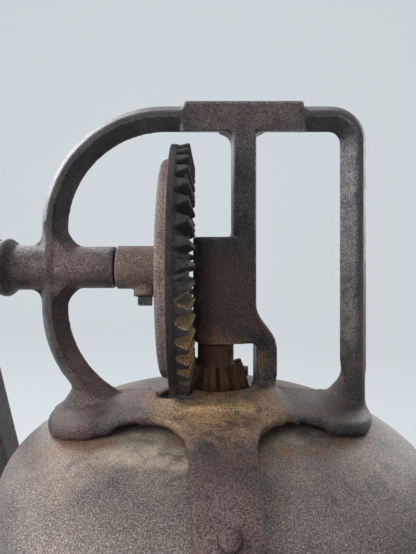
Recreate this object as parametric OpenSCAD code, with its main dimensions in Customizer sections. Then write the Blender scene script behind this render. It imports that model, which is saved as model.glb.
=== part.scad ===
// Glass jar butter churn: jar, screw lid, geared head with hand crank, and wooden dasher
// Millimetres, +Z up, -Y front. The origin is the middle of the jar's foot.

/* [Jar] */
// Width of the jar across its flat sides
jar_side = 148; // [140:1:156]
// Radius of the jar's upright corners
jar_corner_r = 46; // [40:1:52]
// Glass thickness of the walls and neck
jar_wall = 4.5; // [3.5:0.5:5.5]
// Glass thickness of the floor
jar_floor = 7; // [6:0.5:10]
// Height from the table to the lip
jar_h = 240; // [225:5:270]
// Outside diameter of the neck
neck_d = 119; // [116:1:122]
// Height of the straight neck
neck_h = 26; // [24:1:30]
// Height of the shoulder between body and neck
shoulder_h = 36; // [30:1:44]
// Radius of the heel round the foot
heel_r = 9; // [6:1:12]

/* [Lid] */
// Sheet thickness
lid_t = 1; // [0.8:0.1:1.2]
// Radial room for the screw thread between neck and skirt
thread_gap = 2.8; // [2.4:0.1:3.2]
// Rise of the dome above the skirt
dome_h = 18; // [16:0.5:20]
// Radius of the rolled bead round the skirt
skirt_bead_r = 1.4; // [1.2:0.1:1.6]
// Diameter of the vent in the top
vent_d = 40; // [38:1:42]
// Width of the strainer's rim under the lid
strainer_rim = 4; // [3:0.5:5]
// Thickness of the strainer
strainer_t = 0.6; // [0.5:0.1:0.8]
// Distance between the strainer's openings
mesh_pitch = 3.2; // [3:0.1:4]
// Width of one strainer opening
mesh_hole = 2.2; // [2:0.1:2.4]

/* [Gear train] */
// Teeth of the drive gear
gear_teeth = 44; // [43:1:46]
// Teeth of the pinion
pinion_teeth = 11; // [10:1:12]
// Pitch diameter of the drive gear
gear_pitch_d = 76.2; // [75:0.2:77]
// Length of a tooth along the cone
face_w = 8.6; // [8.2:0.2:9]
// Tooth height above the pitch cone, as a share of the tooth spacing
tooth_up = 0.27; // [0.24:0.005:0.28]
// Tooth depth below the pitch cone, as a share of the tooth spacing
tooth_down = 0.372; // [0.36:0.002:0.39]
// Play between meshing teeth
backlash = 0.6; // [0.5:0.05:0.7]
// Slope of the drive gear's tooth sides
tooth_slope = 20; // [19:1:22]
// Thickness of the drive gear's rim behind the teeth
rim_t = 2.1; // [1.8:0.1:3]
// Radius of the smooth disc on the back of the drive gear
disc_r = 33.7; // [32:0.1:35]
// Thickness of that disc
disc_t = 3; // [2:0.5:4]
// Radius of the drive gear's hub
gear_hub_r = 6.8; // [6.4:0.1:7.4]
// Length of the drive gear's hub
gear_hub_l = 14.4; // [13:0.1:16]
// Radius of the pinion's hub
pinion_hub_r = 5.7; // [5.5:0.1:6]
// Length of the pinion's hub
pinion_hub_l = 5.4; // [5:0.2:5.8]
// Diameter of the crank shaft and dasher shaft
shaft_d = 8; // [7.6:0.1:8.2]

/* [Gear frame] */
// Room between the drive gear and the top bar
gear_top_gap = 4.3; // [3.7:0.1:5.5]
// Room between the drive gear and the lid
gear_foot_gap = 3.5; // [3.2:0.1:4.1]
// Width of the frame's bars
bar_w = 8; // [7.6:0.1:8.8]
// Depth of the frame's bars, front to back
bar_d = 11; // [10:0.5:12]
// Width of a bar's flat face
bar_face = 1.9; // [1.6:0.1:2.2]
// Run of a bar's outer slope
bar_slope = 2.6; // [2.3:0.1:2.9]
// Thickness of a bar along its outside
bar_edge = 2.8; // [2.4:0.2:4]
// Centreline radius of the two arches on the crank side
arch_r = 35; // [34.7:0.1:35.9]
// Distance of the arch centres from the dasher shaft
arch_x = 15.7; // [15:0.1:16.4]
// Distance of the grip post from the dasher shaft
grip_x = 43.3; // [42:0.1:44]
// Centreline radius of the grip's top corner
corner_r = 7.4; // [6.6:0.1:8.2]
// Left end of the raised panel on the top bar
panel_x = -9.5; // [-11:0.5:-8]
// Length of the raised panel
panel_l = 35.5; // [33:0.5:38]
// Rise of the panel's face above the bar's centreline
panel_up = 3.6; // [3:0.1:4.2]
// Drop of the panel's face below the bar's centreline
panel_down = 4.7; // [4.3:0.1:5.1]
// Depth of the raised panel, front to back
panel_d = 12.4; // [11.6:0.1:13]
// Left side of the centre post
post_x = 5.2; // [4.6:0.1:5.8]
// Width of the centre post
post_w = 7.2; // [6.6:0.1:7.8]
// Depth of the centre post and lower leg
post_d = 9.6; // [9:0.1:10.4]
// Width of the lower leg
leg_w = 6.2; // [5.8:0.1:7]
// Radius of the dasher shaft's boss
boss_r = 7.2; // [6.8:0.1:7.6]
// Height of that boss above the crank axis
boss_top = 9.6; // [9:0.2:11]
// Radius of the crank bearing
bearing_r = 6.6; // [6.4:0.1:7]
// Radius of the bead round the bearing's outer end
bearing_bead_r = 9.2; // [8.8:0.1:9.6]
// Length of the bearing outside the arch
bearing_out_l = 12.9; // [11:0.1:14]

/* [Frame base] */
// Thickness of the arms above the lid
base_t = 4.5; // [4:0.1:5]
// Extra height of the base in front of the gear opening
apron_h = 2; // [1.6:0.1:2.4]
// Height of the arches under the base
base_lift = 2.2; // [1.8:0.1:2.4]
// Radius inside which the base stands clear of the lid
lift_r = 35; // [33:0.5:37]
// Radius of the left and right feet
foot_r = 20.5; // [20:0.5:21]
// Reach of the left foot from the dasher shaft
foot_left = 52; // [51:0.5:53]
// Reach of the right foot from the dasher shaft
foot_right = 48; // [47.8:0.1:49]
// Width of the front and back arms at the root
arm_root_w = 17.4; // [16:0.2:18]
// Width of the front and back arms at the end
arm_end_w = 13.6; // [12:0.2:15]
// Reach of the front and back arms
arm_reach = 60; // [59:0.2:60.6]
// Radius of the hollows between the front arm and the feet
scallop_r = 13.5; // [13:0.1:14]
// Radius of the hollows between the back arm and the feet
back_scallop_r = 17; // [16:0.5:18]
// Distance of the base's back edge from the dasher shaft
back_edge = 3; // [2.6:0.2:3.8]
// Distance of the rivets from the dasher shaft
rivet_y = 54.5; // [53:0.5:55]
// Diameter of a rivet's shank
rivet_d = 3.2; // [3:0.1:3.6]
// Diameter of a rivet's head
rivet_head_d = 4.6; // [4.4:0.1:5.4]

/* [Crank] */
// Distance from the crank axis to the knob
crank_r = 98; // [90:1:104]
// Angle of the crank from straight down
crank_rest = 25; // [0:1:40]
// Thickness of the crank arm
arm_t = 6; // [5:0.5:7]
// Radius of the crank's hub
crank_hub_r = 9; // [8.4:0.1:10]
// Length of the hub between bearing and arm
crank_hub_l = 11.6; // [10:0.2:13]
// Width of the arm beside the hub
crank_w = 13; // [12:0.5:14]
// Radius of the eye round the knob spindle
eye_r = 7; // [6.4:0.2:8]
// Diameter of the knob spindle
spindle_d = 6; // [5.5:0.1:6.5]
// Length of the knob
knob_l = 44; // [40:1:48]
// Largest diameter of the knob
knob_d = 26; // [24:1:28]
// Thickness of the knob's washer
washer_t = 1.2; // [1:0.1:1.6]
// Diameter of the knob's washer
washer_d = 13; // [12.5:0.5:14]

/* [Dasher] */
// Height of the dasher above the jar's floor
dasher_gap = 14; // [10:1:20]
// Diameter of the wooden hub
dasher_hub_d = 28; // [26:1:30]
// Height of the wooden hub
dasher_hub_h = 66; // [64:1:72]
// Radius swept by the blades
blade_r = 45; // [42:0.5:47]
// Height of a blade
blade_h = 52; // [48:1:56]
// Thickness of a blade
blade_t = 7; // [6:0.5:8]
// Depth of a blade's tenon in the hub
tenon = 6; // [5:0.5:7]
// Diameter of the holes in a blade
blade_hole_d = 12; // [10:0.5:14]
// Diameter of the cross pins
pin_d = 3; // [2.6:0.1:3.2]

/* [Fits] */
// Radial clearance of a turning shaft
run_fit = 0.07; // [0.05:0.01:0.09]
// Radial clearance of a fixed shaft or pin
fix_fit = 0.02; // [0.01:0.01:0.03]
// End play between turning faces
end_play = 0.4; // [0.3:0.05:0.5]
// Room round the drive gear in the frame's base
gear_room = 0.8; // [0.6:0.1:1]
// Gap between the frame's feet and the lid
seat_gap = 0.15; // [0.1:0.05:0.2]
// Gap between the lid and the jar's lip
lip_gap = 0.4; // [0.3:0.1:0.6]

/* [Hidden] */
$fa = 6;
$fs = 0.6;
eps = 0.5;
arc_step = 5;
neck_r = neck_d / 2;
mouth_r = neck_r - jar_wall;
shoulder_z = jar_h - neck_h;
body_z = shoulder_z - shoulder_h;
corner_far = (jar_side / 2 - jar_corner_r) * sqrt(2) + jar_corner_r;

// Lid and dome
dome_r = neck_r + thread_gap + lid_t;
dome_in_r = dome_r - lid_t;
dome_in_h = dome_h - lid_t;
lip_turn = asin(neck_r / dome_in_r);
lid_top = jar_h + lip_gap + lid_t + dome_in_h * (1 - cos(lip_turn));
skirt_gap = 2;
skirt_z = shoulder_z + skirt_gap;
vent_r = vent_d / 2;
strainer_r = vent_r + strainer_rim;
strainer_top = lid_top - lid_t - dome_in_h * (1 - cos(asin(strainer_r / dome_in_r))) - fix_fit;
ring_t = 1.2;

// Bevel gears: both pitch cones meet where the crank axis crosses the dasher shaft
gear_pr = gear_pitch_d / 2;
pinion_pr = gear_pr * pinion_teeth / gear_teeth;
gear_cone = atan(gear_teeth / pinion_teeth);
pinion_cone = 90 - gear_cone;
cone_l = norm([gear_pr, pinion_pr]);
toe = 1 - face_w / cone_l;
blank_toe = toe - 0.03;
blank_heel = 1.012;
tooth_pitch = PI * gear_pitch_d / gear_teeth;
tooth_add = tooth_up * tooth_pitch;
tooth_ded = tooth_down * tooth_pitch;
tooth_sink = 0.11 * tooth_pitch;
tooth_half = (tooth_pitch - backlash) / 4;
gear_r = gear_pr + tooth_add * cos(gear_cone);
pinion_r = pinion_pr + tooth_add * cos(pinion_cone);
gear_root = [pinion_pr + tooth_ded * sin(gear_cone), gear_pr - tooth_ded * cos(gear_cone)];
pinion_root = [pinion_pr - tooth_ded * cos(pinion_cone), gear_pr + tooth_ded * sin(pinion_cone)];
gear_back = gear_root[0] + rim_t;
disc_back = gear_back + disc_t;
gear_hub_end = disc_back + gear_hub_l;
web_front = gear_back - 3;
shaft_r = shaft_d / 2;
shaft_bore = shaft_r + run_fit;
shaft_seat = shaft_r + fix_fit;
pinion_heel = pinion_root[1] + 0.5;
pinion_toe_r = max(pinion_hub_r, pinion_root[0] * blank_toe);
pinion_top = pinion_root[1] * blank_toe - pinion_hub_l;
pinion_pin_z = pinion_top + pinion_hub_l / 2;
pinion_pin_turn = 40;
screw_x = disc_back + 5.5;
screw_r = 2;
screw_head = 4.2;
screw_reach = 12;
screw_pad_r = 3.6;
screw_pad = 9.2;
screw_turn = 12;

// Frame, measured from the crossing of the two shafts
axis_h = gear_r + gear_foot_gap;
axis_z = lid_top + axis_h;
rim_z = gear_r + gear_top_gap + bar_w / 2;
arch_z = rim_z - arch_r;
arch_out = arch_x + arch_r + bar_w / 2;
arch_in = arch_out - bar_w;
face_in = bar_w / 2 - bar_slope - bar_face;
window_z = rim_z - bar_w / 2;
post_r = post_x + post_w;
leg_x = post_r;
leg_r = leg_x + leg_w;
boss_end = pinion_top - end_play;
bearing_in = gear_hub_end + end_play;
bearing_out = arch_out + bearing_out_l;
bearing_neck_r = bearing_r + 0.5;
rail_z = axis_h - 1.9;
opening_x0 = disc_back + 4;
opening_x1 = pinion_r + 2;
opening_y = 10;
opening_back = 13;
bridge_top = pinion_heel + end_play;
bridge_t = 4;
bridge_w = 12;
bridge_reach = 17;
step_r = boss_r;
step_h = 8;
apron_r0 = 40;
apron_r1 = 15;
apron_left = 0.8 * arch_in;
lower_sweep = 68;
fillet_d = 7;
bearing_fillet = 8;
grip_fillet = 5;
fillet_root = 3;
scallop_x = arm_root_w / 2 + scallop_r;
scallop_y = foot_r + scallop_r - eps;
back_scallop_x = arm_root_w / 2 + back_scallop_r;
back_scallop_y = back_edge + back_scallop_r;
rivet_turn = asin(rivet_y / dome_r);
rivet_tilt = atan(dome_h * tan(rivet_turn) / dome_r);

// Crank
crank_in = bearing_out + end_play;
arm_in = crank_in + crank_hub_l;
arm_out = arm_in + arm_t;
hub_proud = 0.8;
hub_out = arm_out + hub_proud;
spindle_r = spindle_d / 2;
spindle_head_r = spindle_r + 2.4;
spindle_head_t = 2.4;
washer_in = arm_out + end_play;
knob_in = washer_in + washer_t + end_play;
knob_out = knob_in + knob_l;
head_room = 4;
spindle_end = knob_out - head_room + end_play + spindle_head_t;
crank_pin_x = crank_in + crank_hub_l / 2;
pin_r = pin_d / 2;
pin_over = 0.8;

// Dasher
dasher_z = jar_floor + dasher_gap;
hub_r = dasher_hub_d / 2;
blade_z = dasher_z + (dasher_hub_h - blade_h) / 2;
blade_in = hub_r - tenon;
hole_x = (hub_r + blade_r) / 2;
blades = 4;
hub_collar_r = 9;
hub_collar_h = 10;
dasher_pin_z = dasher_z + dasher_hub_h + hub_collar_h / 2;

// Points along the lid's dome, from the top out to the given angle, raised by dz
function dome_pts(a0, a1, r, h, dz) = [for (a = [a0 : arc_step : a1]) dome_pt(a, r, h, dz)];
function dome_pt(a, r, h, dz) = [r * sin(a), dz - h * (1 - cos(a))];

// Involute pinion tooth: half width at radius r of the developed tooth
pinion_dev_r = pinion_pr / cos(pinion_cone);
base_dev_r = pinion_dev_r * cos(tooth_slope);
function inv(a) = tan(a) * 180 / PI - a;
function tooth_half_angle(r) = tooth_half / pinion_dev_r * 180 / PI + inv(tooth_slope) - inv(acos(base_dev_r / r));
function tooth_pt(r, a, side) = [side * r * sin(a), r * cos(a) - pinion_dev_r];

gear_profile = [
    [-tooth_half - (tooth_ded + tooth_sink) * tan(tooth_slope), -tooth_ded - tooth_sink],
    [-tooth_half + tooth_add * tan(tooth_slope), tooth_add],
    [tooth_half - tooth_add * tan(tooth_slope), tooth_add],
    [tooth_half + (tooth_ded + tooth_sink) * tan(tooth_slope), -tooth_ded - tooth_sink]
];

flank_r = [base_dev_r + 0.1, pinion_dev_r, pinion_dev_r + tooth_add / 2, pinion_dev_r + tooth_add];
pinion_root_half = tooth_half * 0.86;
pinion_profile = concat(
    [[-pinion_root_half, -tooth_ded - tooth_sink]],
    [for (r = flank_r) tooth_pt(r, tooth_half_angle(r), -1)],
    [for (i = [len(flank_r) - 1 : -1 : 0]) tooth_pt(flank_r[i], tooth_half_angle(flank_r[i]), 1)],
    [[pinion_root_half, -tooth_ded - tooth_sink]]
);

// One straight bevel tooth that tapers to the cone's apex at the origin
module bevel_tooth(cone, profile) {
    n = len(profile);
    heel = [for (p = profile) cone_l * [sin(cone), 0, cos(cone)] + p[1] * [cos(cone), 0, -sin(cone)] + [0, p[0], 0]];
    points = concat(heel, toe * heel);
    sides = [for (i = [0 : n - 1]) [i, (i + 1) % n, n + (i + 1) % n, n + i]];
    ends = [[for (i = [n - 1 : -1 : 0]) i], [for (i = [0 : n - 1]) n + i]];
    polyhedron(points, concat(sides, ends));
}

// Puts a piece that was drawn round the crossing of the shafts in its place on the jar
module on_axis() {
    translate([0, 0, axis_z])
        children();
}

// Turns a profile of [distance to the left, radius] round the crank axis
module round_crank() {
    rotate([0, -90, 0])
        rotate_extrude()
            rotate(90)
                mirror([0, 1])
                    children();
}

// Puts a child drawn along +Z on the crank axis, running left from x
module along_crank(x) {
    translate([-x, 0, 0])
        rotate([0, -90, 0])
            children();
}

module rounded_square(w, r) {
    square([w, w - 2 * r], center = true);
    square([w - 2 * r, w], center = true);
    for (x = [-1, 1], y = [-1, 1])
        translate([x, y] * (w / 2 - r))
            circle(r);
}

// Upright wall with a rounded lower edge, seen from the side
module heel_profile(w, z0, z1, r) {
    translate([-w / 2, z0 + r])
        square([w, z1 - z0 - r]);
    translate([-w / 2 + r, z0])
        square([w - 2 * r, r + eps]);
    for (x = [-1, 1])
        translate([x * (w / 2 - r), z0 + r])
            circle(r);
}

// Jar outline drawn in from the outside of the glass by the given distance
module jar_form(inset, z0, shoulder) {
    w = jar_side - 2 * inset;
    far = corner_far - inset;
    near = neck_r - inset;
    heel = heel_r - inset * 0.6;
    intersection() {
        translate([0, 0, z0])
            linear_extrude(shoulder_z - z0 + eps)
                rounded_square(w, jar_corner_r - inset);
        rotate_extrude()
            polygon(concat(
                [[0, z0 - eps], [far + eps, z0 - eps]],
                [[far + eps, body_z]],
                [for (a = [arc_step : arc_step : 90]) [near + (far - near) * cos(a), body_z + shoulder * sin(a)]],
                [[0, body_z + shoulder]]
            ));
        rotate([90, 0, 0])
            linear_extrude(jar_side + eps, center = true)
                heel_profile(w, z0, shoulder_z + eps, heel);
        rotate([90, 0, 90])
            linear_extrude(jar_side + eps, center = true)
                heel_profile(w, z0, shoulder_z + eps, heel);
    }
}

module glass_jar() {
    color("lightcyan", 0.4)
        difference() {
            union() {
                jar_form(0, 0, shoulder_h);
                translate([0, 0, body_z])
                    cylinder(r = neck_r, h = jar_h - body_z);
            }
            jar_form(jar_wall, jar_floor, shoulder_h - jar_wall);
            translate([0, 0, body_z])
                cylinder(r = mouth_r, h = jar_h - body_z + eps);
        }
}

module rivet_holes(r) {
    for (side = [-1, 1])
        rivet_place(side)
            cylinder(r = r, h = 2 * base_t + 2, center = true);
}

// Local frame of a rivet: its origin is on the lid and +Z points away from the lid
module rivet_place(side) {
    translate([0, side * rivet_y, lid_top - dome_h * (1 - cos(rivet_turn))])
        rotate([-side * rivet_tilt, 0, 0])
            children();
}

module lid() {
    vent_in = asin(vent_r / dome_in_r);
    vent_out = asin(vent_r / dome_r);
    color("silver")
        difference() {
            union() {
                translate([0, 0, lid_top])
                    rotate_extrude()
                        polygon(concat(
                            [dome_pt(vent_out, dome_r, dome_h, 0)],
                            dome_pts(20, 90, dome_r, dome_h, 0),
                            [[dome_r, skirt_z - lid_top], [dome_in_r, skirt_z - lid_top]],
                            [for (a = [90 : -arc_step : 20]) dome_pt(a, dome_in_r, dome_in_h, -lid_t)],
                            [dome_pt(vent_in, dome_in_r, dome_in_h, -lid_t)]
                        ));
                translate([0, 0, skirt_z + skirt_bead_r])
                    rotate_extrude()
                        translate([dome_in_r + skirt_bead_r + lid_t / 4, 0])
                            circle(skirt_bead_r);
            }
            rivet_holes(rivet_d / 2 + fix_fit);
        }
}

module strainer_screen() {
    n = ceil(strainer_r / mesh_pitch);
    clear_r = vent_r - mesh_hole;
    step_clear = step_r + mesh_hole;
    color("darkkhaki")
        translate([0, 0, strainer_top - strainer_t])
            linear_extrude(strainer_t)
                difference() {
                    circle(strainer_r);
                    circle(step_r + end_play);
                    for (i = [-n : n], j = [-n : n])
                        if (norm([i, j]) * mesh_pitch < clear_r && norm([i, j]) * mesh_pitch > step_clear)
                            translate([i, j] * mesh_pitch)
                                square(mesh_hole, center = true);
                }
}

module screen_ring() {
    color("gray")
        translate([0, 0, strainer_top - strainer_t - ring_t])
            difference() {
                cylinder(r = strainer_r, h = ring_t);
                translate([0, 0, -eps])
                    cylinder(r = vent_r - eps, h = ring_t + 2 * eps);
            }
}

// Bar section: a thin inner edge at the parting line, long inner slopes, narrow faces and a blunt outside
module bar_section() {
    polygon([
        [-bar_w / 2, 0],
        [face_in, -bar_d / 2],
        [face_in + bar_face, -bar_d / 2],
        [bar_w / 2, -bar_edge / 2],
        [bar_w / 2, bar_edge / 2],
        [face_in + bar_face, bar_d / 2],
        [face_in, bar_d / 2]
    ]);
}

// The inner part of that section, drawn in a little so that a sweep of it starts inside the bar
module bar_wedge() {
    sunk = 0.3;
    root = face_in + 3;
    polygon([
        [-bar_w / 2 + sunk, 0],
        [face_in, -bar_d / 2 + sunk],
        [root, -bar_d / 2 + sunk],
        [root, bar_d / 2 - sunk],
        [face_in, bar_d / 2 - sunk]
    ]);
}

// Arc of a section in the frame's plane
module bar_arc(x, z, r, start, sweep) {
    translate([x, 0, z])
        rotate([90, 0, 0])
            rotate([0, 0, start])
                rotate_extrude(angle = sweep)
                    translate([r, 0])
                        children();
}

// Flat web in the frame's plane
module web(depth) {
    rotate([90, 0, 0])
        linear_extrude(depth, center = true)
            children();
}

// Concave corner fill whose sides run along sx and sz from the corner
module fillet(x, z, sx, sz, r) {
    translate([x, z])
        scale([sx, sz])
            difference() {
                translate([-fillet_root, -fillet_root])
                    square(r + fillet_root);
                translate([r, r])
                    circle(r);
            }
}

module frame_rim() {
    corner_x = grip_x - corner_r;
    corner_z = rim_z - corner_r;
    bar_arc(-arch_x, arch_z, arch_r, 90, 90)
        bar_section();
    bar_arc(-arch_x, -arch_z, arch_r, 180, lower_sweep)
        bar_section();
    bar_arc(corner_x, corner_z, corner_r, 0, 90)
        bar_section();
    translate([-arch_x - arch_r, 0, -arch_z])
        linear_extrude(2 * arch_z)
            mirror([1, 0])
                bar_section();
    translate([corner_x, 0, rim_z])
        rotate([0, -90, 0])
            linear_extrude(corner_x + arch_x)
                bar_section();
    translate([grip_x, 0, -axis_h])
        linear_extrude(axis_h + corner_z)
            bar_section();
}

// Raised panel on the front of the top bar: its face leans back a little below and its ends slope
module frame_panel() {
    slope = 2.5;
    lean = 1.6;
    crown = 0.7;
    half = panel_d / 2;
    intersection() {
        rotate([90, 0, 90])
            linear_extrude(4 * panel_l, center = true)
                polygon([
                    [-half, rim_z + panel_up],
                    [-half + lean, rim_z - panel_down],
                    [0, rim_z - panel_down + lean / 2],
                    [half - lean, rim_z - panel_down + 2 * lean],
                    [half, rim_z + panel_up],
                    [half - crown, rim_z + panel_up + crown],
                    [-half + crown, rim_z + panel_up + crown]
                ]);
        web(2 * panel_d)
            polygon([
                [panel_x - slope, rim_z - 2 * panel_down],
                [panel_x, rim_z + 2 * panel_up],
                [panel_x + panel_l, rim_z + 2 * panel_up],
                [panel_x + panel_l + slope, rim_z - 2 * panel_down]
            ]);
    }
}

// Centre post, boss with its tapering web, and the leg that sweeps out to the base
module frame_posts() {
    sweep_top = 11.5;
    sweep_h = 12.5;
    web(post_d) {
        translate([post_x, -boss_end])
            square([post_w, boss_end + window_z + bar_slope]);
        polygon(concat(
            [[post_x, -sweep_top]],
            [for (u = [0 : 0.1 : 1]) [leg_x + leg_w * (1 - cos(180 * u)) / 2, -sweep_top - sweep_h * u]],
            [[leg_r, -rail_z - bar_slope], [leg_x, -rail_z - bar_slope], [leg_x, -boss_end], [post_x, -boss_end]]
        ));
    }
    translate([0, 0, -boss_end])
        linear_extrude(boss_end + boss_top) {
            circle(boss_r);
            polygon([[0, -boss_r], [post_r, -post_d / 2], [post_r, post_d / 2], [0, boss_r]]);
        }
}

module frame_fillets() {
    web(fillet_d) {
        fillet(post_x, window_z, -1, -1, 4);
        fillet(post_r, window_z, 1, -1, 3);
        fillet(leg_r, -rail_z, 1, 1, 2.5);
    }
    web(bar_edge - eps)
        for (s = [-1, 1])
            fillet(-arch_out, s * (bearing_neck_r - eps), -1, s, 5);
    for (s = [-1, 1])
        bar_arc(bearing_fillet - arch_in, s * (bearing_r - eps + bearing_fillet), bearing_fillet + bar_w / 2,
            135 + 45 * s, 90)
            bar_wedge();
    bar_arc(grip_x - bar_w / 2 - grip_fillet, grip_fillet - eps - rail_z, grip_fillet + bar_w / 2, 270, 90)
        bar_wedge();
}

module crank_bearing() {
    round_crank()
        polygon([
            [bearing_in, 0],
            [bearing_in, bearing_r],
            [arch_out - bar_w / 2, bearing_r],
            [arch_out - bar_w / 2, bearing_neck_r],
            [bearing_out - 5, bearing_neck_r],
            [bearing_out - 3.6, bearing_bead_r - 0.8],
            [bearing_out - 2.6, bearing_bead_r],
            [bearing_out - 1.2, bearing_bead_r],
            [bearing_out, bearing_bead_r - 1],
            [bearing_out, 0]
        ]);
}

// Outline of the base from above: two round feet, two tapered arms and the hollows between them
module base_plan() {
    arm_y = scallop_y - scallop_r / 2;
    tip = 3;
    end_w = arm_end_w / 2;
    root_w = arm_root_w / 2;
    difference() {
        union() {
            translate([-foot_left + foot_r, 0])
                circle(foot_r);
            translate([foot_right - foot_r, 0])
                circle(foot_r);
            translate([-foot_left + foot_r, -foot_r])
                square([foot_left + foot_right - 2 * foot_r, 2 * foot_r]);
            square(2 * [scallop_x, scallop_y], center = true);
        }
        for (x = [-1, 1]) {
            translate([x * scallop_x, -scallop_y])
                circle(scallop_r);
            translate([x * back_scallop_x, back_scallop_y])
                circle(back_scallop_r);
        }
    }
    for (s = [-1, 1])
        scale([1, s])
            polygon([
                [-root_w, arm_y],
                [-end_w, arm_reach - tip],
                [-end_w + tip, arm_reach],
                [end_w - tip, arm_reach],
                [end_w, arm_reach - tip],
                [root_w, arm_y]
            ]);
}

// Solid of revolution below the top face of the base
module base_top() {
    rotate_extrude()
        polygon(concat(
            [[0, -2 * axis_h]],
            dome_pts(0, 80, dome_r, dome_h, base_t - axis_h),
            [[dome_r * sin(80), -2 * axis_h]]
        ));
}

// Spider that rests on the lid, with a raised apron in front of the gears and the rail on the right
module frame_base() {
    intersection() {
        translate([0, 0, -2 * axis_h])
            linear_extrude(2 * axis_h)
                base_plan();
        base_top();
    }
    intersection() {
        translate([0, 0, -axis_h])
            cylinder(r1 = apron_r0, r2 = apron_r1, h = base_t + apron_h);
        translate([-apron_left, -foot_r + 1, -2 * axis_h])
            cube([apron_left + leg_r, foot_r - 3, 2 * axis_h]);
    }
    translate([leg_x, -bar_d / 2 + 1, -axis_h - bar_slope])
        cube([grip_x - leg_x, bar_d - 2, axis_h + bar_slope - rail_z]);
}

module base_under() {
    lift_a = asin(lift_r / dome_r);
    rotate_extrude()
        polygon(concat(
            [[0, -3 * axis_h]],
            [for (a = [0 : arc_step : lift_a]) dome_pt(a, dome_r, dome_h, base_lift - axis_h)],
            [dome_pt(lift_a, dome_r, dome_h, base_lift - axis_h)],
            [dome_pt(lift_a, dome_r, dome_h, seat_gap - axis_h)],
            [for (a = [ceil(lift_a / arc_step) * arc_step : arc_step : 90])
                dome_pt(a, dome_r, dome_h, seat_gap - axis_h)],
            [[dome_r, -3 * axis_h]]
        ));
}

// Flared roots of the arch and the grip post on the base
module foot_flares() {
    root_x = arch_x + (arch_r + bar_w / 2) * cos(42) - bar_w / 2;
    low_z = axis_h + 6;
    translate([-root_x, 0, -low_z])
        cylinder(r1 = foot_left - root_x, r2 = bar_w / 2 - 0.3, h = low_z - rail_z + 3.5);
    translate([grip_x - 2.5, 0, -low_z])
        cylinder(r1 = 8, r2 = bar_w / 2 - 0.6, h = low_z - rail_z + 4.5);
}

module gear_opening() {
    translate([-opening_x0 + opening_y, -opening_y, -axis_h - step_h])
        cube([opening_x0 + opening_x1 - 2 * opening_y, 2 * opening_y, 2 * step_h]);
    for (x = [-opening_x0 + opening_y, opening_x1 - opening_y])
        translate([x, 0, -axis_h - step_h])
            cylinder(r = opening_y, h = 2 * step_h);
    translate([-opening_x0, post_d / 2 + 0.4, -axis_h - step_h])
        cube([opening_x0 + leg_r, opening_back - post_d / 2 - 0.4, 2 * step_h]);
    translate([0, 0, -axis_h - step_h])
        cylinder(r = pinion_r + end_play, h = step_h + axis_h - gear_pr * toe);
    along_crank(boss_r + 0.2)
        cylinder(r = gear_r + gear_room, h = disc_back + gear_room - boss_r);
}

module gear_frame() {
    color("#2b2520")
        on_axis()
            difference() {
                union() {
                    difference() {
                        union() {
                            frame_rim();
                            frame_panel();
                            frame_posts();
                            frame_fillets();
                            crank_bearing();
                            foot_flares();
                            frame_base();
                        }
                        base_under();
                        gear_opening();
                    }
                    translate([-bridge_w / 2, -bridge_reach, -bridge_top - bridge_t])
                        cube([bridge_w, 2 * bridge_reach, bridge_t]);
                    translate([0, 0, -bridge_top - step_h])
                        cylinder(r = step_r, h = step_h);
                }
                along_crank(bearing_in - 1)
                    cylinder(r = shaft_bore, h = bearing_out - bearing_in + 2);
                translate([0, 0, -bridge_top - step_h - 1])
                    cylinder(r = shaft_bore, h = bridge_top + step_h + boss_top - 2);
                translate([0, 0, -axis_z])
                    rivet_holes(rivet_d / 2 + fix_fit);
            }
}

// Domed head outside, shank through arm and lid, flat head inside
module frame_rivets() {
    grip = base_t * cos(rivet_tilt) + 0.1;
    head_h = 1.5;
    color("#4a443c")
        for (side = [-1, 1])
            rivet_place(side) {
                rotate_extrude()
                    polygon([
                        [0, -2 * lid_t - 0.8],
                        [rivet_head_d / 2, -2 * lid_t - 0.8],
                        [rivet_head_d / 2, -lid_t - 0.25],
                        [rivet_d / 2, -lid_t - 0.25],
                        [rivet_d / 2, grip],
                        [rivet_head_d / 2, grip],
                        [rivet_head_d * 0.44, grip + head_h * 0.5],
                        [rivet_head_d * 0.3, grip + head_h * 0.85],
                        [0, grip + head_h]
                    ]);
            }
}

module crank_shaft() {
    color("dimgray")
        on_axis()
            difference() {
                along_crank(web_front)
                    cylinder(r = shaft_r, h = hub_out - web_front);
                crank_pin_hole();
            }
}

module crank_turned() {
    rotate([crank_rest, 0, 0])
        children();
}

module crank_pin_hole() {
    crank_turned()
        translate([-crank_pin_x, 0, 0])
            rotate([90, 0, 0])
                cylinder(r = pin_r + fix_fit, h = 4 * crank_hub_r, center = true);
}

module crank_arm() {
    color("#2b2520")
        on_axis()
            difference() {
                union() {
                    along_crank(crank_in)
                        cylinder(r = crank_hub_r, h = hub_out - crank_in);
                    crank_turned()
                        translate([-arm_out, 0, 0])
                            rotate([90, 0, 90])
                                linear_extrude(arm_t) {
                                    polygon([
                                        [-crank_w / 2, 0],
                                        [crank_w / 2, 0],
                                        [eye_r * 0.8, -crank_r],
                                        [-eye_r * 0.8, -crank_r]
                                    ]);
                                    translate([0, -crank_r])
                                        circle(eye_r);
                                }
                }
                along_crank(crank_in - 1)
                    cylinder(r = shaft_seat, h = hub_out - crank_in + 2);
                crank_turned()
                    translate([0, 0, -crank_r])
                        along_crank(arm_in - 1)
                            cylinder(r = spindle_r + fix_fit, h = arm_t + 2);
                crank_pin_hole();
            }
}

module crank_pin() {
    color("gray")
        on_axis()
            crank_turned()
                translate([-crank_pin_x, 0, 0])
                    rotate([90, 0, 0])
                        cylinder(r = pin_r, h = 2 * (crank_hub_r + pin_over), center = true);
}

module at_knob() {
    on_axis()
        crank_turned()
            translate([0, 0, -crank_r])
                children();
}

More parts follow.
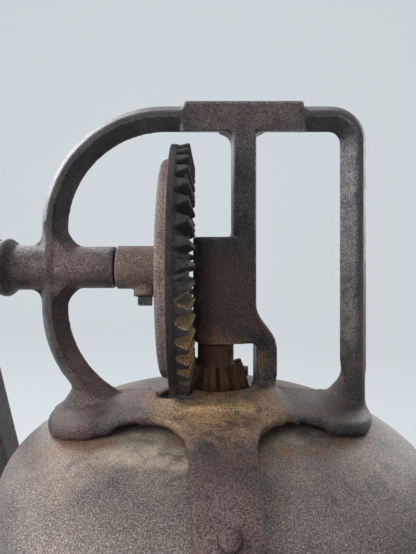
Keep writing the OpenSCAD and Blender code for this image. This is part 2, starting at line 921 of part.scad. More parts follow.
module knob_spindle() {
    color("gray")
        at_knob()
            round_crank()
                polygon([
                    [arm_in, 0],
                    [arm_in, spindle_r],
                    [spindle_end - spindle_head_t, spindle_r],
                    [spindle_end - spindle_head_t, spindle_head_r],
                    [spindle_end - 0.6, spindle_head_r],
                    [spindle_end, spindle_head_r - 0.6],
                    [spindle_end, 0]
                ]);
}

module knob_washer() {
    color("gray")
        at_knob()
            along_crank(washer_in - end_play)
                difference() {
                    cylinder(d = washer_d, h = washer_t + end_play);
                    translate([0, 0, -1])
                        cylinder(r = spindle_r + fix_fit, h = washer_t + 3);
                }
}

// Turned handle: narrow collar, waist and rounded belly
module crank_knob() {
    collar_r = knob_d * 0.33;
    color("#7a4a26")
        at_knob()
            round_crank()
                difference() {
                    polygon(concat(
                        [[knob_in, 0], [knob_in, collar_r], [knob_in + knob_l * 0.08, collar_r + 0.6]],
                        [for (u = [0.12 : 0.04 : 0.98])
                            [knob_in + knob_l * u, collar_r + (knob_d / 2 - collar_r) * sin(180 * pow(u, 1.25)) - 0.2]],
                        [[knob_out, collar_r - 1.4], [knob_out, 0]]
                    ));
                    translate([knob_in - 1, -1])
                        square([knob_l + 2, spindle_r + run_fit + 1]);
                    translate([knob_out - head_room, -1])
                        square([head_room + 1, spindle_head_r + end_play + 1]);
                }
}

module drive_gear() {
    pitch_turn = 360 / gear_teeth;
    ring_r = gear_root[1] * blank_heel;
    soft = 1.6;
    color("#2e2823")
        on_axis()
            difference() {
                union() {
                    round_crank()
                        polygon([
                            [web_front, 0],
                            [web_front, gear_root[1] * blank_toe - 2.5],
                            [gear_root[0] * blank_toe, gear_root[1] * blank_toe],
                            [gear_root[0] * blank_heel, ring_r],
                            [gear_back, ring_r],
                            [gear_back, disc_r],
                            [disc_back - soft, disc_r],
                            [disc_back - soft * 0.3, disc_r - soft * 0.3],
                            [disc_back, disc_r - soft],
                            [disc_back, gear_hub_r + soft],
                            [disc_back + soft * 0.3, gear_hub_r + soft * 0.3],
                            [disc_back + soft, gear_hub_r],
                            [gear_hub_end, gear_hub_r],
                            [gear_hub_end, 0]
                        ]);
                    rotate([0, -90, 0])
                        for (i = [0 : gear_teeth - 1])
                            rotate([0, 0, 180 + (i + 0.5) * pitch_turn])
                                bevel_tooth(gear_cone, gear_profile);
                    screw_place()
                        cylinder(r = screw_pad_r, h = screw_pad);
                }
                along_crank(web_front - 1)
                    cylinder(r = shaft_seat, h = gear_hub_end - web_front + 2);
                screw_place()
                    translate([0, 0, shaft_r])
                        cylinder(r = screw_r + fix_fit, h = screw_pad);
            }
}

// Local frame of the gear's set screw: +Z points out of the hub, below and to the front
module screw_place() {
    translate([-screw_x, 0, 0])
        rotate([180 - screw_turn, 0, 0])
            children();
}

module gear_screw() {
    color("gray")
        on_axis()
            screw_place() {
                translate([0, 0, shaft_seat + fix_fit])
                    cylinder(r = screw_r, h = screw_pad - shaft_seat);
                translate([-screw_head / 2, -screw_head / 2, screw_pad])
                    cube([screw_head, screw_head, screw_reach - screw_pad]);
            }
}

module pinion() {
    pitch_turn = 360 / pinion_teeth;
    color("#4b3323")
        on_axis()
            difference() {
                union() {
                    rotate([180, 0, 0])
                        rotate_extrude()
                            polygon([
                                [0, pinion_top],
                                [pinion_hub_r, pinion_top],
                                [pinion_toe_r, pinion_root[1] * blank_toe],
                                [pinion_root[0] * blank_heel, pinion_root[1] * blank_heel],
                                [pinion_root[0] * blank_heel, pinion_heel],
                                [0, pinion_heel]
                            ]);
                    rotate([180, 0, 0])
                        for (i = [0 : pinion_teeth - 1])
                            rotate([0, 0, 180 + i * pitch_turn])
                                bevel_tooth(pinion_cone, pinion_profile);
                }
                translate([0, 0, -pinion_heel - 1])
                    cylinder(r = shaft_seat, h = pinion_heel - pinion_top + 2);
                pinion_pin_hole(fix_fit);
            }
}

module pinion_pin_hole(gap) {
    translate([0, 0, -pinion_pin_z])
        rotate([0, 90, -pinion_pin_turn])
            cylinder(r = pin_r / 2 + gap, h = 2 * (pinion_hub_r + pin_over), center = true);
}

module pinion_pin() {
    color("gray")
        on_axis()
            pinion_pin_hole(0);
}

module dasher_pin_hole(gap) {
    translate([0, 0, dasher_pin_z])
        rotate([0, 90, 45])
            cylinder(r = pin_r + gap, h = 2 * (hub_collar_r + pin_over), center = true);
}

module dasher_shaft() {
    color("lightgray")
        difference() {
            translate([0, 0, dasher_z])
                cylinder(r = shaft_r, h = axis_z + boss_top - 4 - dasher_z);
            dasher_pin_hole(fix_fit);
            on_axis()
                pinion_pin_hole(fix_fit);
        }
}

module dasher_hub() {
    color("burlywood")
        difference() {
            union() {
                translate([0, 0, dasher_z])
                    cylinder(r = hub_r, h = dasher_hub_h);
                translate([0, 0, dasher_z + dasher_hub_h - eps])
                    cylinder(r = hub_collar_r, h = hub_collar_h + eps);
            }
            translate([0, 0, dasher_z - 1])
                cylinder(r = shaft_seat, h = dasher_hub_h + hub_collar_h + 2);
            for (i = [0 : blades - 1])
                rotate([0, 0, i * 360 / blades])
                    translate([blade_in, -blade_t / 2, blade_z])
                        cube([tenon + 1, blade_t, blade_h]);
            dasher_pin_hole(fix_fit);
        }
}

module dasher_blade(i) {
    rise = (blade_h - 2 * blade_hole_d) / 3;
    color("tan")
        rotate([0, 0, (i - 1) * 360 / blades])
            translate([0, blade_t / 2, blade_z])
                rotate([90, 0, 0])
                    linear_extrude(blade_t)
                        difference() {
                            translate([blade_in, 0])
                                square([blade_r - blade_in, blade_h]);
                            for (s = [0, 1])
                                translate([hole_x, rise + blade_hole_d / 2 + s * (rise + blade_hole_d)])
                                    circle(d = blade_hole_d);
                            fillet(blade_r, 0, -1, 1, 6);
                            fillet(blade_r, blade_h, -1, -1, 6);
                        }
}

module dasher_pin() {
    color("gray")
        dasher_pin_hole(0);
}

glass_jar();
lid();
strainer_screen();
screen_ring();
gear_frame();
frame_rivets();
crank_shaft();
crank_arm();
crank_pin();
knob_spindle();
knob_washer();
crank_knob();
drive_gear();
gear_screw();
pinion();
pinion_pin();
dasher_shaft();
dasher_hub();
dasher_blade(1);  // dasher_blade_1
dasher_blade(2);  // dasher_blade_2
dasher_blade(3);  // dasher_blade_3
dasher_blade(4);  // dasher_blade_4
dasher_pin();
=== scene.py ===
import math

import bmesh
import bpy
from mathutils import Matrix, Vector


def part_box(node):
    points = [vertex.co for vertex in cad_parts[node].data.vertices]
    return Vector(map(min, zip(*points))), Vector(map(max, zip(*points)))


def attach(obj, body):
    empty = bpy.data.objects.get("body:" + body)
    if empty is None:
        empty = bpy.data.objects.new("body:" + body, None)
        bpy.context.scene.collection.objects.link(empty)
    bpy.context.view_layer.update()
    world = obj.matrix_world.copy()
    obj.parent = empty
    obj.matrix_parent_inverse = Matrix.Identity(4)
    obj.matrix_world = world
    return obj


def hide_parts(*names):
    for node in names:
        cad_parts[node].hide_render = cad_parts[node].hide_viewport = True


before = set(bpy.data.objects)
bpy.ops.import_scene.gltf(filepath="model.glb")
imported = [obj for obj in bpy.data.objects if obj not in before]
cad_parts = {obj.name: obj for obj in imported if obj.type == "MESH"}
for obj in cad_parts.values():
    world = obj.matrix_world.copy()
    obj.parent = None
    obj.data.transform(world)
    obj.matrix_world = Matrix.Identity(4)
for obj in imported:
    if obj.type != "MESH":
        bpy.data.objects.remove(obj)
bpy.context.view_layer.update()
scene = bpy.context.scene
scene.view_settings.view_transform = "Standard"
mm = 0.001
mergeReach, copyReach = 0.005 * mm, 0.001 * mm   # closer points are one, in a new piece and in a copied node
smoothShare = 0.5   # how far each smoothing round draws a point to its neighbours
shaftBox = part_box("crank_shaft")
axisZ = (shaftBox[0][2] + shaftBox[1][2]) / 2   # height at which the crank shaft and the dasher shaft cross
print("frame loaded,", len(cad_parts), "nodes")


# colours and nodes

def srgb(hexText):
    parts = [int(hexText[i:i + 2], 16) / 255 for i in (1, 3, 5)]
    linear = [c / 12.92 if c <= 0.04045 else ((c + 0.055) / 1.055) ** 2.4 for c in parts]
    return (*linear, 1.0)


def addNode(tree, kind, inputs=None, **settings):
    node = tree.nodes.new(kind)
    for name, value in settings.items():
        setattr(node, name, value)
    for socket, value in (inputs or {}).items():
        if isinstance(value, bpy.types.NodeSocket):
            tree.links.new(value, node.inputs[socket])
        else:
            node.inputs[socket].default_value = value
    return node


def newMaterial(name):
    material = bpy.data.materials.new(name)
    material.use_nodes = True
    tree = material.node_tree
    tree.nodes.clear()
    return material, tree


def perMm(size):
    return 1000 / size   # texture scale for a pattern of this size in millimetres


# pieces

def finishPiece(piece, body, material, nodes):
    piece.data.materials.clear()
    piece.data.materials.append(material)
    for face in piece.data.polygons:
        face.use_smooth = True
    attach(piece, body)
    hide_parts(*nodes)
    return piece


def linkPiece(name, bm):
    mesh = bpy.data.meshes.new(name)
    bm.to_mesh(mesh)
    bm.free()
    piece = bpy.data.objects.new(name, mesh)
    scene.collection.objects.link(piece)
    return piece


def pieceFrom(name, bm):
    bmesh.ops.remove_doubles(bm, verts=bm.verts, dist=mergeReach)
    bmesh.ops.recalc_face_normals(bm, faces=bm.faces)
    return linkPiece(name, bm)


# a node's own shape with the edges rounded off, as casting, turning or sanding leaves them
def softCopy(nodeName, name, voxel, rounds):
    bm = bmesh.new()
    bm.from_mesh(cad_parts[nodeName].data)
    bmesh.ops.remove_doubles(bm, verts=bm.verts, dist=copyReach)
    piece = linkPiece(name, bm)
    remesh = piece.modifiers.new("remesh", "REMESH")
    remesh.mode = "VOXEL"
    remesh.voxel_size = voxel * mm
    soften = piece.modifiers.new("soften", "SMOOTH")
    soften.factor = smoothShare
    soften.iterations = rounds
    graph = bpy.context.evaluated_depsgraph_get()
    rounded = bpy.data.meshes.new_from_object(piece.evaluated_get(graph))
    piece.modifiers.clear()
    piece.data = rounded
    rounded.name = name
    return piece


# corners where a casting runs smoothly together get more smoothing rounds than the rest
def easeCorners(piece, corners):
    bm = bmesh.new()
    bm.from_mesh(piece.data)
    for (x, y, z), reach, rounds in corners:
        centre = Vector((x * mm, y * mm, axisZ + z * mm))
        near = [v for v in bm.verts if (v.co - centre).length < reach * mm]
        for i in range(rounds):
            bmesh.ops.smooth_vert(
                bm, verts=near, factor=smoothShare, use_axis_x=True, use_axis_y=True, use_axis_z=True,
            )
    bm.to_mesh(piece.data)
    bm.free()


# stage, light and camera

stage = {
    "backdrop": "#dfe7eb",
    "sweepY": 1.3,   # where the floor starts to curve up, in metres behind the churn
    "sweepR": 0.6, "sweepSteps": 10,
    "frontY": -5.0,
    "halfWidth": 6.0,
    "wallTop": 2.8,
    "glow": 0.74,   # share of the backdrop that looks plain to the camera; the rest shows the shadow
}


# 1 for the rays that show the background to the eye, straight or by way of metal and glass
def seenRays(tree):
    light = addNode(tree, "ShaderNodeLightPath")
    seen = addNode(tree, "ShaderNodeMath", {
        0: light.outputs["Is Camera Ray"], 1: light.outputs["Is Glossy Ray"],
    }, operation="MAXIMUM")
    return addNode(tree, "ShaderNodeMath", {
        0: seen.outputs[0], 1: light.outputs["Is Transmission Ray"],
    }, operation="MAXIMUM").outputs[0]


def makeStage():
    bm = bmesh.new()
    y0, r = stage["sweepY"], stage["sweepR"]
    turns = [math.radians(90 / stage["sweepSteps"] * i) for i in range(1, stage["sweepSteps"] + 1)]
    path = [(stage["frontY"], 0.0), (y0, 0.0)]
    path += [(y0 + r * math.sin(a), r - r * math.cos(a)) for a in turns]
    path += [(y0 + r, stage["wallTop"])]
    verts = [bm.verts.new((-stage["halfWidth"], y, z)) for y, z in path]
    edges = [bm.edges.new(pair) for pair in zip(verts, verts[1:])]
    swept = bmesh.ops.extrude_edge_only(bm, edges=edges)
    moved = [v for v in swept["geom"] if isinstance(v, bmesh.types.BMVert)]
    bmesh.ops.translate(bm, verts=moved, vec=(2 * stage["halfWidth"], 0, 0))
    backdrop = pieceFrom("backdrop", bm)
    for face in backdrop.data.polygons:
        face.use_smooth = True
    # matt pale paper: it looks plain to the camera and keeps the shadow
    material, tree = newMaterial("pale backdrop paper")
    part = addNode(tree, "ShaderNodeMath", {0: seenRays(tree), 1: stage["glow"]}, operation="MULTIPLY")
    matt = addNode(tree, "ShaderNodeBsdfDiffuse", {"Color": srgb(stage["backdrop"])})
    glow = addNode(tree, "ShaderNodeEmission", {"Color": srgb(stage["backdrop"])})
    both = addNode(tree, "ShaderNodeMixShader", {0: part.outputs[0], 1: matt.outputs[0], 2: glow.outputs[0]})
    addNode(tree, "ShaderNodeOutputMaterial", {"Surface": both.outputs[0]})
    backdrop.data.materials.append(material)


lamps = {
    # name: place, size, watts, spread in degrees; all aimed at the head
    "windowLeft": ((-1.0, -0.45, 0.8), 1.1, 17, 180),
    "skyOver": ((0.0, 0.3, 1.3), 1.2, 3, 180),
    "fillFront": ((0.2, -1.1, 0.4), 0.9, 1.6, 180),
    "windowBack": ((-0.8, 0.8, 0.9), 0.9, 2.2, 75),
    "windowRight": ((0.9, 0.9, 0.5), 0.6, 0.7, 75),
}
room = {"sky": "#d5dde2", "skyStrength": 0.22, "plainStrength": 0.78, "aim": (0, 0, 0.28)}


def makeLight():
    world = bpy.data.worlds.new("soft room")
    scene.world = world
    world.use_nodes = True
    tree = world.node_tree
    tree.nodes.clear()
    sky = addNode(tree, "ShaderNodeBackground", {"Color": srgb(room["sky"]), "Strength": room["skyStrength"]})
    plain = addNode(tree, "ShaderNodeBackground", {
        "Color": srgb(stage["backdrop"]), "Strength": room["plainStrength"],
    })
    both = addNode(tree, "ShaderNodeMixShader", {0: seenRays(tree), 1: sky.outputs[0], 2: plain.outputs[0]})
    addNode(tree, "ShaderNodeOutputWorld", {"Surface": both.outputs[0]})
    aim = Vector(room["aim"])
    for name, (place, size, watts, spread) in lamps.items():
        lamp = bpy.data.lights.new(name, "AREA")
        lamp.size = size
        lamp.energy = watts
        lamp.spread = math.radians(spread)
        holder = bpy.data.objects.new(name, lamp)
        holder.location = place
        holder.rotation_euler = (aim - Vector(place)).to_track_quat("-Z", "Y").to_euler()
        scene.collection.objects.link(holder)


shot = {
    "place": (-6.54 * mm, -133 * mm, axisZ + 7.08 * mm),
    "sensor": 36,
    "focal": 419 / 554 * 36,   # 419 pixels on a frame 554 high
    "shift": (13 / 554, -32 / 554),
    "clipStart": 0.01, "tilt": 90,   # level
}


def makeCamera():
    data = bpy.data.cameras.new("shot")
    data.sensor_width = shot["sensor"]
    data.lens = shot["focal"]
    data.shift_x, data.shift_y = shot["shift"]
    data.clip_start = shot["clipStart"]
    camera = bpy.data.objects.new("shot", data)
    camera.location = shot["place"]
    camera.rotation_euler = (math.radians(shot["tilt"]), 0, 0)
    scene.collection.objects.link(camera)
    scene.camera = camera


makeStage()
makeLight()
makeCamera()
print("stage, light and camera ready")


# finishes
# pairs of numbers give the range of a noise texture over which something comes in, or the two ends of a tone

noiseSpan = (0.3, 0.7)   # where most of a noise texture's values lie
ironLook = {
    "ochre": "#c8a276",
    "bare": "#a5a2a4",   # metal on rubbed edges, where it is also a painted highlight higher up, and the painted sheen on slopes
    "gritSize": 0.42,   # millimetres, a little coarse to show
    "lumpSize": 3.5, "patchSize": 14, "stainSize": 6,
    "thin": (0.34, 0.62), "patchy": (0.3, 0.6), "lying": (0.2, 0.52), "grains": (0.18, 0.5),
    "rustBand": 0.16, "rustMost": 0.85, "brownMost": 0.6, "spotMost": 0.85, "backMost": 0.85,
    "brownCore": 0.3, "spotCore": 0.35,
    "wearAndHighlightBand": 0.05, "wearAndSheenHeight": (-36, -20), "wearAndSheenLow": 0.1,   # the rubbed edges and the painted sheen fade out down to the feet
    # painted sheen: the range of facing up and to the crank side over which it comes in
    "slope": (0.45, 0.95),
    # the corner tone darkens corners and hollows: painted shade
    "speck": (0.35, 0.65), "speckTone": (0.25, 1.8), "cornerShade": (0.4, 0.49), "cornerShadeTone": 0.35,
    "roughSpan": 0.2, "dustRough": 0.35, "dustMetal": 0.05,
    "lumpShare": 0.8, "skinDepth": 0.42,   # depth in mm
}
# heights and places are in millimetres from the crossing of the shafts; rust grows from the first height to
# the second, dust lies between the two middle heights of its four, and hands have worn the black thin at the
# worn places, except the frame's worn place low on the left arch, which is a painted sheen
frameFinish = {
    "dark": "#29292e", "mid": "#474548", "rust": "#5d463c",
    "rustFrom": 0.43, "rustHeight": (18, -24), "rustHigh": 0.15,
    "dustHeight": (-32, -35, -39, -42), "dustFacing": (0.3, 0.9), "dustMost": 0.35, "dustColour": "#8c7468",
    "wearAndHighlightFrom": 0.515, "wearAndHighlightMost": 0.7, "slopeMost": 0.5, "shine": 0.3, "metal": 0.7,
    "spots": [((0, -15, -38), 23)],
    "brown": [((3, -6, -8), 17), ((-4, -8, -20), 12), ((0, -50, -46), 20)],
    "worn": [
        ((-2, -7, 47), 13), ((17, -7, 47), 13), ((-46, -8, 3), 20), ((-36, -10, -42), 16),
        # first on the next line, low on the left arch: a painted sheen
        ((-42, -6, -31), 11), ((0, -55, -47), 16),
    ],
    "wornAndSheenColour": "#6a5854",
}
armFinish = {
    "dark": "#2e2c2f", "mid": "#4b4646", "rust": "#523d34",
    "rustFrom": 0.5, "rustHeight": (0, -60), "rustHigh": 0.5,
    "dustHeight": (-200, -201, -202, -203), "dustFacing": (0.3, 0.9), "dustMost": 0,   # no dust
    "dustColour": "#8c7468",
    "wearAndHighlightFrom": 0.515, "wearAndHighlightMost": 0.6, "slopeMost": 0.2, "shine": 0.34, "metal": 0.6,
    "spots": [((-76, -9, -6), 6)],
    "brown": [((-75, 0, 0), 18)],
    "worn": [((-82, 41, -89), 14)],
    "wornAndSheenColour": "#6d6665",
}
gearFinish = {
    "dark": "#1f1b1c", "mid": "#332d2c", "rust": "#3d2f28",
    "rustFrom": 0.5, "rustHeight": (10, -30), "rustHigh": 0.4,
    "dustHeight": (-2, -11, -24, -34), "dustFacing": (0.05, 0.4), "dustMost": 1.0, "dustColour": "#a98b5f",
    "wearAndHighlightFrom": 0.54, "wearAndHighlightMost": 0.3, "slopeMost": 0, "shine": 0.42, "metal": 0.5,
    "spots": [((-9, 20, -30), 14)],
    "brown": [((-11, 0, -34), 14)],
    "worn": [((-26, 0, 0), 22)],
    "wornAndSheenColour": "#6a5a52",
    "backX": (-13.4, -14), "backColour": "#85726a",   # the disc and hub behind the rim are a lighter brown-grey
}
pinionFinish = {
    "dark": "#35231a", "mid": "#4d3423", "rust": "#5f412d",
    "rustFrom": 0.4, "rustHeight": (0, -10), "rustHigh": 1.0,
    "dustHeight": (-20, -34, -60, -61), "dustFacing": (0.3, 0.9), "dustMost": 0.6, "dustColour": "#8c7468",
    "wearAndHighlightFrom": 0.53, "wearAndHighlightMost": 0.3, "slopeMost": 0, "shine": 0.5, "metal": 0.3,
    "spots": [((0, 0, -37), 10)],
    "brown": [((0, 0, -30), 12)],
    "worn": [((0, 0, -25), 8)],
    "wornAndSheenColour": "#4a3324",
}


# the nearest of a list of places, as 1 at the place and 0 at its reach
def nearSpots(tree, place, spots, core):
    found = None
    for (x, y, z), reach in spots:
        away = addNode(tree, "ShaderNodeVectorMath", {
            0: place, 1: (x * mm, y * mm, axisZ + z * mm),
        }, operation="DISTANCE")
        near = addNode(tree, "ShaderNodeMapRange", {
            "Value": away.outputs["Value"], "From Min": reach * mm, "From Max": reach * core * mm,
        })
        if found is None:
            found = near.outputs[0]
        else:
            found = addNode(tree, "ShaderNodeMath", {
                0: found, 1: near.outputs[0],
            }, operation="MAXIMUM").outputs[0]
    return found


# sand-cast iron that was once blacked: grainy skin, rubbed bright edges that are partly a painted highlight,
# a painted sheen on the slopes that look up and to the crank side, painted shade in the corners, and rust,
# ochre where dust lies
def castIron(name, finish):
    look = ironLook
    material, tree = newMaterial(name)
    coords = addNode(tree, "ShaderNodeTexCoord")
    place = coords.outputs["Object"]
    across = addNode(tree, "ShaderNodeSeparateXYZ", {0: place})
    facing = addNode(tree, "ShaderNodeSeparateXYZ", {0: coords.outputs["Normal"]})
    edges = addNode(tree, "ShaderNodeNewGeometry").outputs["Pointiness"]
    grit = addNode(tree, "ShaderNodeTexNoise", {
        "Vector": place, "Scale": perMm(look["gritSize"]), "Detail": 3.0, "Roughness": 0.7,
    })
    lumps = addNode(tree, "ShaderNodeTexNoise", {
        "Vector": place, "Scale": perMm(look["lumpSize"]), "Detail": 3.0,
    })
    patches = addNode(tree, "ShaderNodeTexNoise", {
        "Vector": place, "Scale": perMm(look["patchSize"]), "Detail": 5.0, "Roughness": 0.6,
    })
    stains = addNode(tree, "ShaderNodeTexNoise", {
        "Vector": place, "Scale": perMm(look["stainSize"]), "Detail": 6.0, "Roughness": 0.65,
        "Distortion": 0.4,
    })
    thin = addNode(tree, "ShaderNodeMapRange", {
        "Value": patches.outputs["Fac"], "From Min": look["thin"][0], "From Max": look["thin"][1],
    })
    patchy = addNode(tree, "ShaderNodeMapRange", {
        "Value": stains.outputs["Fac"], "From Min": look["patchy"][0], "From Max": look["patchy"][1],
    })
    grains = addNode(tree, "ShaderNodeMapRange", {
        "Value": grit.outputs["Fac"], "From Min": look["grains"][0], "From Max": look["grains"][1],
    })
    layers = []   # share and colour of what lies on the black, from the bottom up
    if "backX" in finish:
        x0, x1 = finish["backX"]
        back = addNode(tree, "ShaderNodeMapRange", {
            "Value": across.outputs["X"], "From Min": x0 * mm, "From Max": x1 * mm,
            "To Max": look["backMost"],
        })
        layers.append((back, finish["backColour"]))
    # rust, more of it lower down and near the brown places
    top, low = finish["rustHeight"]
    lower = addNode(tree, "ShaderNodeMapRange", {
        "Value": across.outputs["Z"], "From Min": axisZ + top * mm, "From Max": axisZ + low * mm,
        "To Min": finish["rustHigh"], "To Max": look["rustMost"],
    })
    rusty = addNode(tree, "ShaderNodeMapRange", {
        "Value": stains.outputs["Fac"],
        "From Min": finish["rustFrom"], "From Max": finish["rustFrom"] + look["rustBand"],
    })
    rusty = addNode(tree, "ShaderNodeMath", {0: rusty.outputs[0], 1: lower.outputs[0]}, operation="MULTIPLY")
    layers.append((rusty, finish["rust"]))
    browned = addNode(tree, "ShaderNodeMath", {
        0: nearSpots(tree, place, finish["brown"], look["brownCore"]), 1: look["brownMost"],
    }, operation="MULTIPLY")
    layers.append((browned, finish["rust"]))
    # worn places thinned by hands; on the frame the one low on the left arch is a painted sheen
    handledAndSheen = addNode(tree, "ShaderNodeMath", {
        0: nearSpots(tree, place, finish["worn"], look["brownCore"]), 1: thin.outputs[0],
    }, operation="MULTIPLY")
    layers.append((handledAndSheen, finish["wornAndSheenColour"]))
    # dust settles on faces that look up, low on the piece
    start, top, low, end = [axisZ + height * mm for height in finish["dustHeight"]]
    settled = addNode(tree, "ShaderNodeMapRange", {
        "Value": across.outputs["Z"], "From Min": start, "From Max": top,
    })
    fading = addNode(tree, "ShaderNodeMapRange", {
        "Value": across.outputs["Z"], "From Min": end, "From Max": low,
    })
    least, full = finish["dustFacing"]
    level = addNode(tree, "ShaderNodeMapRange", {
        "Value": facing.outputs["Z"], "From Min": least, "From Max": full, "To Max": finish["dustMost"],
    })
    lying = addNode(tree, "ShaderNodeMapRange", {
        "Value": stains.outputs["Fac"], "From Min": look["lying"][0], "From Max": look["lying"][1],
    })
    lying = addNode(tree, "ShaderNodeMath", {0: lying.outputs[0], 1: grains.outputs[0]}, operation="MULTIPLY")
    for limit in (fading, level, lying):
        settled = addNode(tree, "ShaderNodeMath", {
            0: settled.outputs[0], 1: limit.outputs[0],
        }, operation="MULTIPLY")
    layers.append((settled, finish["dustColour"]))
    stained = addNode(tree, "ShaderNodeMath", {
        0: nearSpots(tree, place, finish["spots"], look["spotCore"]), 1: patchy.outputs[0],
    }, operation="MULTIPLY")
    stained = addNode(tree, "ShaderNodeMath", {
        0: stained.outputs[0], 1: look["spotMost"],
    }, operation="MULTIPLY")
    layers.append((stained, look["ochre"]))
    # bare metal on the edges, brighter up the frame where it is also a painted highlight; a painted sheen in
    # the same colour on the slopes that look up and to the crank side, towards the big left lamp
    rubbedAndSheen = addNode(tree, "ShaderNodeMapRange", {
        "Value": edges, "From Min": finish["wearAndHighlightFrom"], "From Max": finish["wearAndHighlightFrom"] + look["wearAndHighlightBand"],
        "To Max": finish["wearAndHighlightMost"],
    })
    slope = addNode(tree, "ShaderNodeMath", {
        0: facing.outputs["Z"], 1: facing.outputs["X"],
    }, operation="SUBTRACT")
    slope = addNode(tree, "ShaderNodeMapRange", {
        "Value": slope.outputs[0], "From Min": look["slope"][0], "From Max": look["slope"][1],
        "To Max": finish["slopeMost"],
    })
    slope = addNode(tree, "ShaderNodeMath", {0: slope.outputs[0], 1: grains.outputs[0]}, operation="MULTIPLY")
    rubbedAndSheen = addNode(tree, "ShaderNodeMath", {0: rubbedAndSheen.outputs[0], 1: slope.outputs[0]}, operation="MAXIMUM")
    bottom, upper = look["wearAndSheenHeight"]
    high = addNode(tree, "ShaderNodeMapRange", {
        "Value": across.outputs["Z"], "From Min": axisZ + bottom * mm, "From Max": axisZ + upper * mm,
        "To Min": look["wearAndSheenLow"],
    })
    for limit in (high, patchy):
        rubbedAndSheen = addNode(tree, "ShaderNodeMath", {
            0: rubbedAndSheen.outputs[0], 1: limit.outputs[0],
        }, operation="MULTIPLY")
    layers.append((rubbedAndSheen, look["bare"]))
    colour = addNode(tree, "ShaderNodeMix", {
        0: thin.outputs[0], 6: srgb(finish["dark"]), 7: srgb(finish["mid"]),
    }, data_type="RGBA")
    for share, tint in layers:
        colour = addNode(tree, "ShaderNodeMix", {
            0: share.outputs[0], 6: colour.outputs[2], 7: srgb(tint),
        }, data_type="RGBA")
    # darker between the grains, and painted shade in the corners and hollows
    speck = addNode(tree, "ShaderNodeMapRange", {
        "Value": grit.outputs["Fac"], "From Min": look["speck"][0], "From Max": look["speck"][1],
        "To Min": look["speckTone"][0], "To Max": look["speckTone"][1],
    })
    cornerShade = addNode(tree, "ShaderNodeMapRange", {
        "Value": edges, "From Min": look["cornerShade"][0], "From Max": look["cornerShade"][1],
        "To Min": look["cornerShadeTone"], "To Max": 1.0,
    })
    for tone in (speck, cornerShade):
        colour = addNode(tree, "ShaderNodeMix", {
            0: 1.0, 6: colour.outputs[2], 7: tone.outputs[0],
        }, data_type="RGBA", blend_type="MULTIPLY")
    # dust is rough and dull
    rough = addNode(tree, "ShaderNodeMapRange", {
        "Value": stains.outputs["Fac"], "From Min": noiseSpan[0], "From Max": noiseSpan[1],
        "To Min": finish["shine"], "To Max": finish["shine"] + look["roughSpan"],
    })
    rough = addNode(tree, "ShaderNodeMath", {
        0: settled.outputs[0], 1: look["dustRough"], 2: rough.outputs[0],
    }, operation="MULTIPLY_ADD")
    metal = addNode(tree, "ShaderNodeMapRange", {
        "Value": settled.outputs[0], "To Min": finish["metal"], "To Max": look["dustMetal"],
    })
    deep = addNode(tree, "ShaderNodeMath", {
        0: lumps.outputs["Fac"], 1: look["lumpShare"], 2: grit.outputs["Fac"],
    }, operation="MULTIPLY_ADD")
    bump = addNode(tree, "ShaderNodeBump", {
        "Strength": 1.0, "Distance": look["skinDepth"] * mm, "Height": deep.outputs[0],
    })
    shader = addNode(tree, "ShaderNodeBsdfPrincipled", {
        "Base Color": colour.outputs[2], "Roughness": rough.outputs[0], "Metallic": metal.outputs[0],
        "Normal": bump.outputs[0],
    })
    addNode(tree, "ShaderNodeOutputMaterial", {"Surface": shader.outputs[0]})
    return material


lidLook = {
    "light": "#776a62", "dark": "#554a46",
    # on the next line: the colour of the painted glints, the dust, a grey that is painted light, and a pale
    # colour that is partly dust and partly a painted highlight
    "paintedGlintColour": "#a29a94", "dust": "#8d7e71", "paintedLightGrey": "#a89d88", "pale": "#c4b29c",
    "smudge": "#4a4340", "rust": "#80583a",
    "sandSize": 0.3,   # millimetres, a little coarse to show
    "cloudSize": 22, "smearSize": 7,
    "tone": (0.33, 0.66), "breakUp": (0.32, 0.6), "stainMost": 0.8, "stainCore": 0.45,
    "smudgeBand": (0.6, 0.72), "smudgeMost": 0.5,
    "paintedGlint": (0.52, 0.67), "paintedGlintMost": 0.7, "speck": (0.33, 0.65), "speckTone": (0.3, 1.6),
    "rough": (0.62, 0.42), "metal": 0.35, "sandDepth": 0.12,   # depth in mm
}
# dust by the feet and along the front arm, a pale line before the base that is partly dust and partly a
# painted highlight, a lighter grey under the base's front edge that is painted light, and rust that creeps
# out from under the iron; places in millimetres from the crossing of the shafts, each with its reach
lidStains = {
    "dust": [
        ((-38, -29, -46), 15), ((38, -27, -46), 14), ((-14, -34, -46), 10), ((14, -34, -46), 10),
        ((-38, 27, -46), 14), ((38, 25, -46), 14),
    ],
    # a lighter grey under the base's front edge: painted light that lifts the shadow there
    "paintedLightGrey": [
        ((-25, -22, -45), 7), ((-18, -24, -44), 7), ((-13, -27, -44), 6), ((12, -24, -44), 6),
        ((19, -22, -44), 6), ((25, -18, -44), 5),
    ],
    # a pale line before the base: partly dust, partly a painted highlight where the dome catches the light
    "pale": [
        ((-30, -27, -46), 4), ((-26, -28.5, -46), 4.5), ((-22, -29.5, -45), 4.5), ((-18, -30.5, -45), 4.5),
        ((-14, -31.5, -45), 4), ((-10, -33, -45), 4),
    ],
    "smudge": [
        ((-32, -40, -49), 3.5), ((-29, -39, -48), 3.5), ((-25.5, -37.5, -47), 3),
        ((23, -42, -48), 2.5), ((28.5, -39, -48), 2.5), ((34.5, -36, -49), 2.5),
        ((8, -41, -47), 4), ((7, -48, -48), 4),
    ],
    "rust": [
        ((-47, -16, -49), 5.5), ((-43, -19, -48), 6), ((-38, -21, -47), 6), ((-33, -22, -46), 5.5),
        ((-30, -22, -46), 4),
        ((9, -31, -44), 6), ((16, -28.5, -44), 4.5), ((24, -26, -45), 4.5),
        ((32, -21, -46), 4.5), ((39, -16, -46), 5), ((46, -10, -48), 5),
        ((10, -24, -44), 5), ((-10, -24, -44), 5), ((10, -44, -49), 4), ((-34, 23, -46), 6),
        ((36, 20, -46), 6),
    ],
}
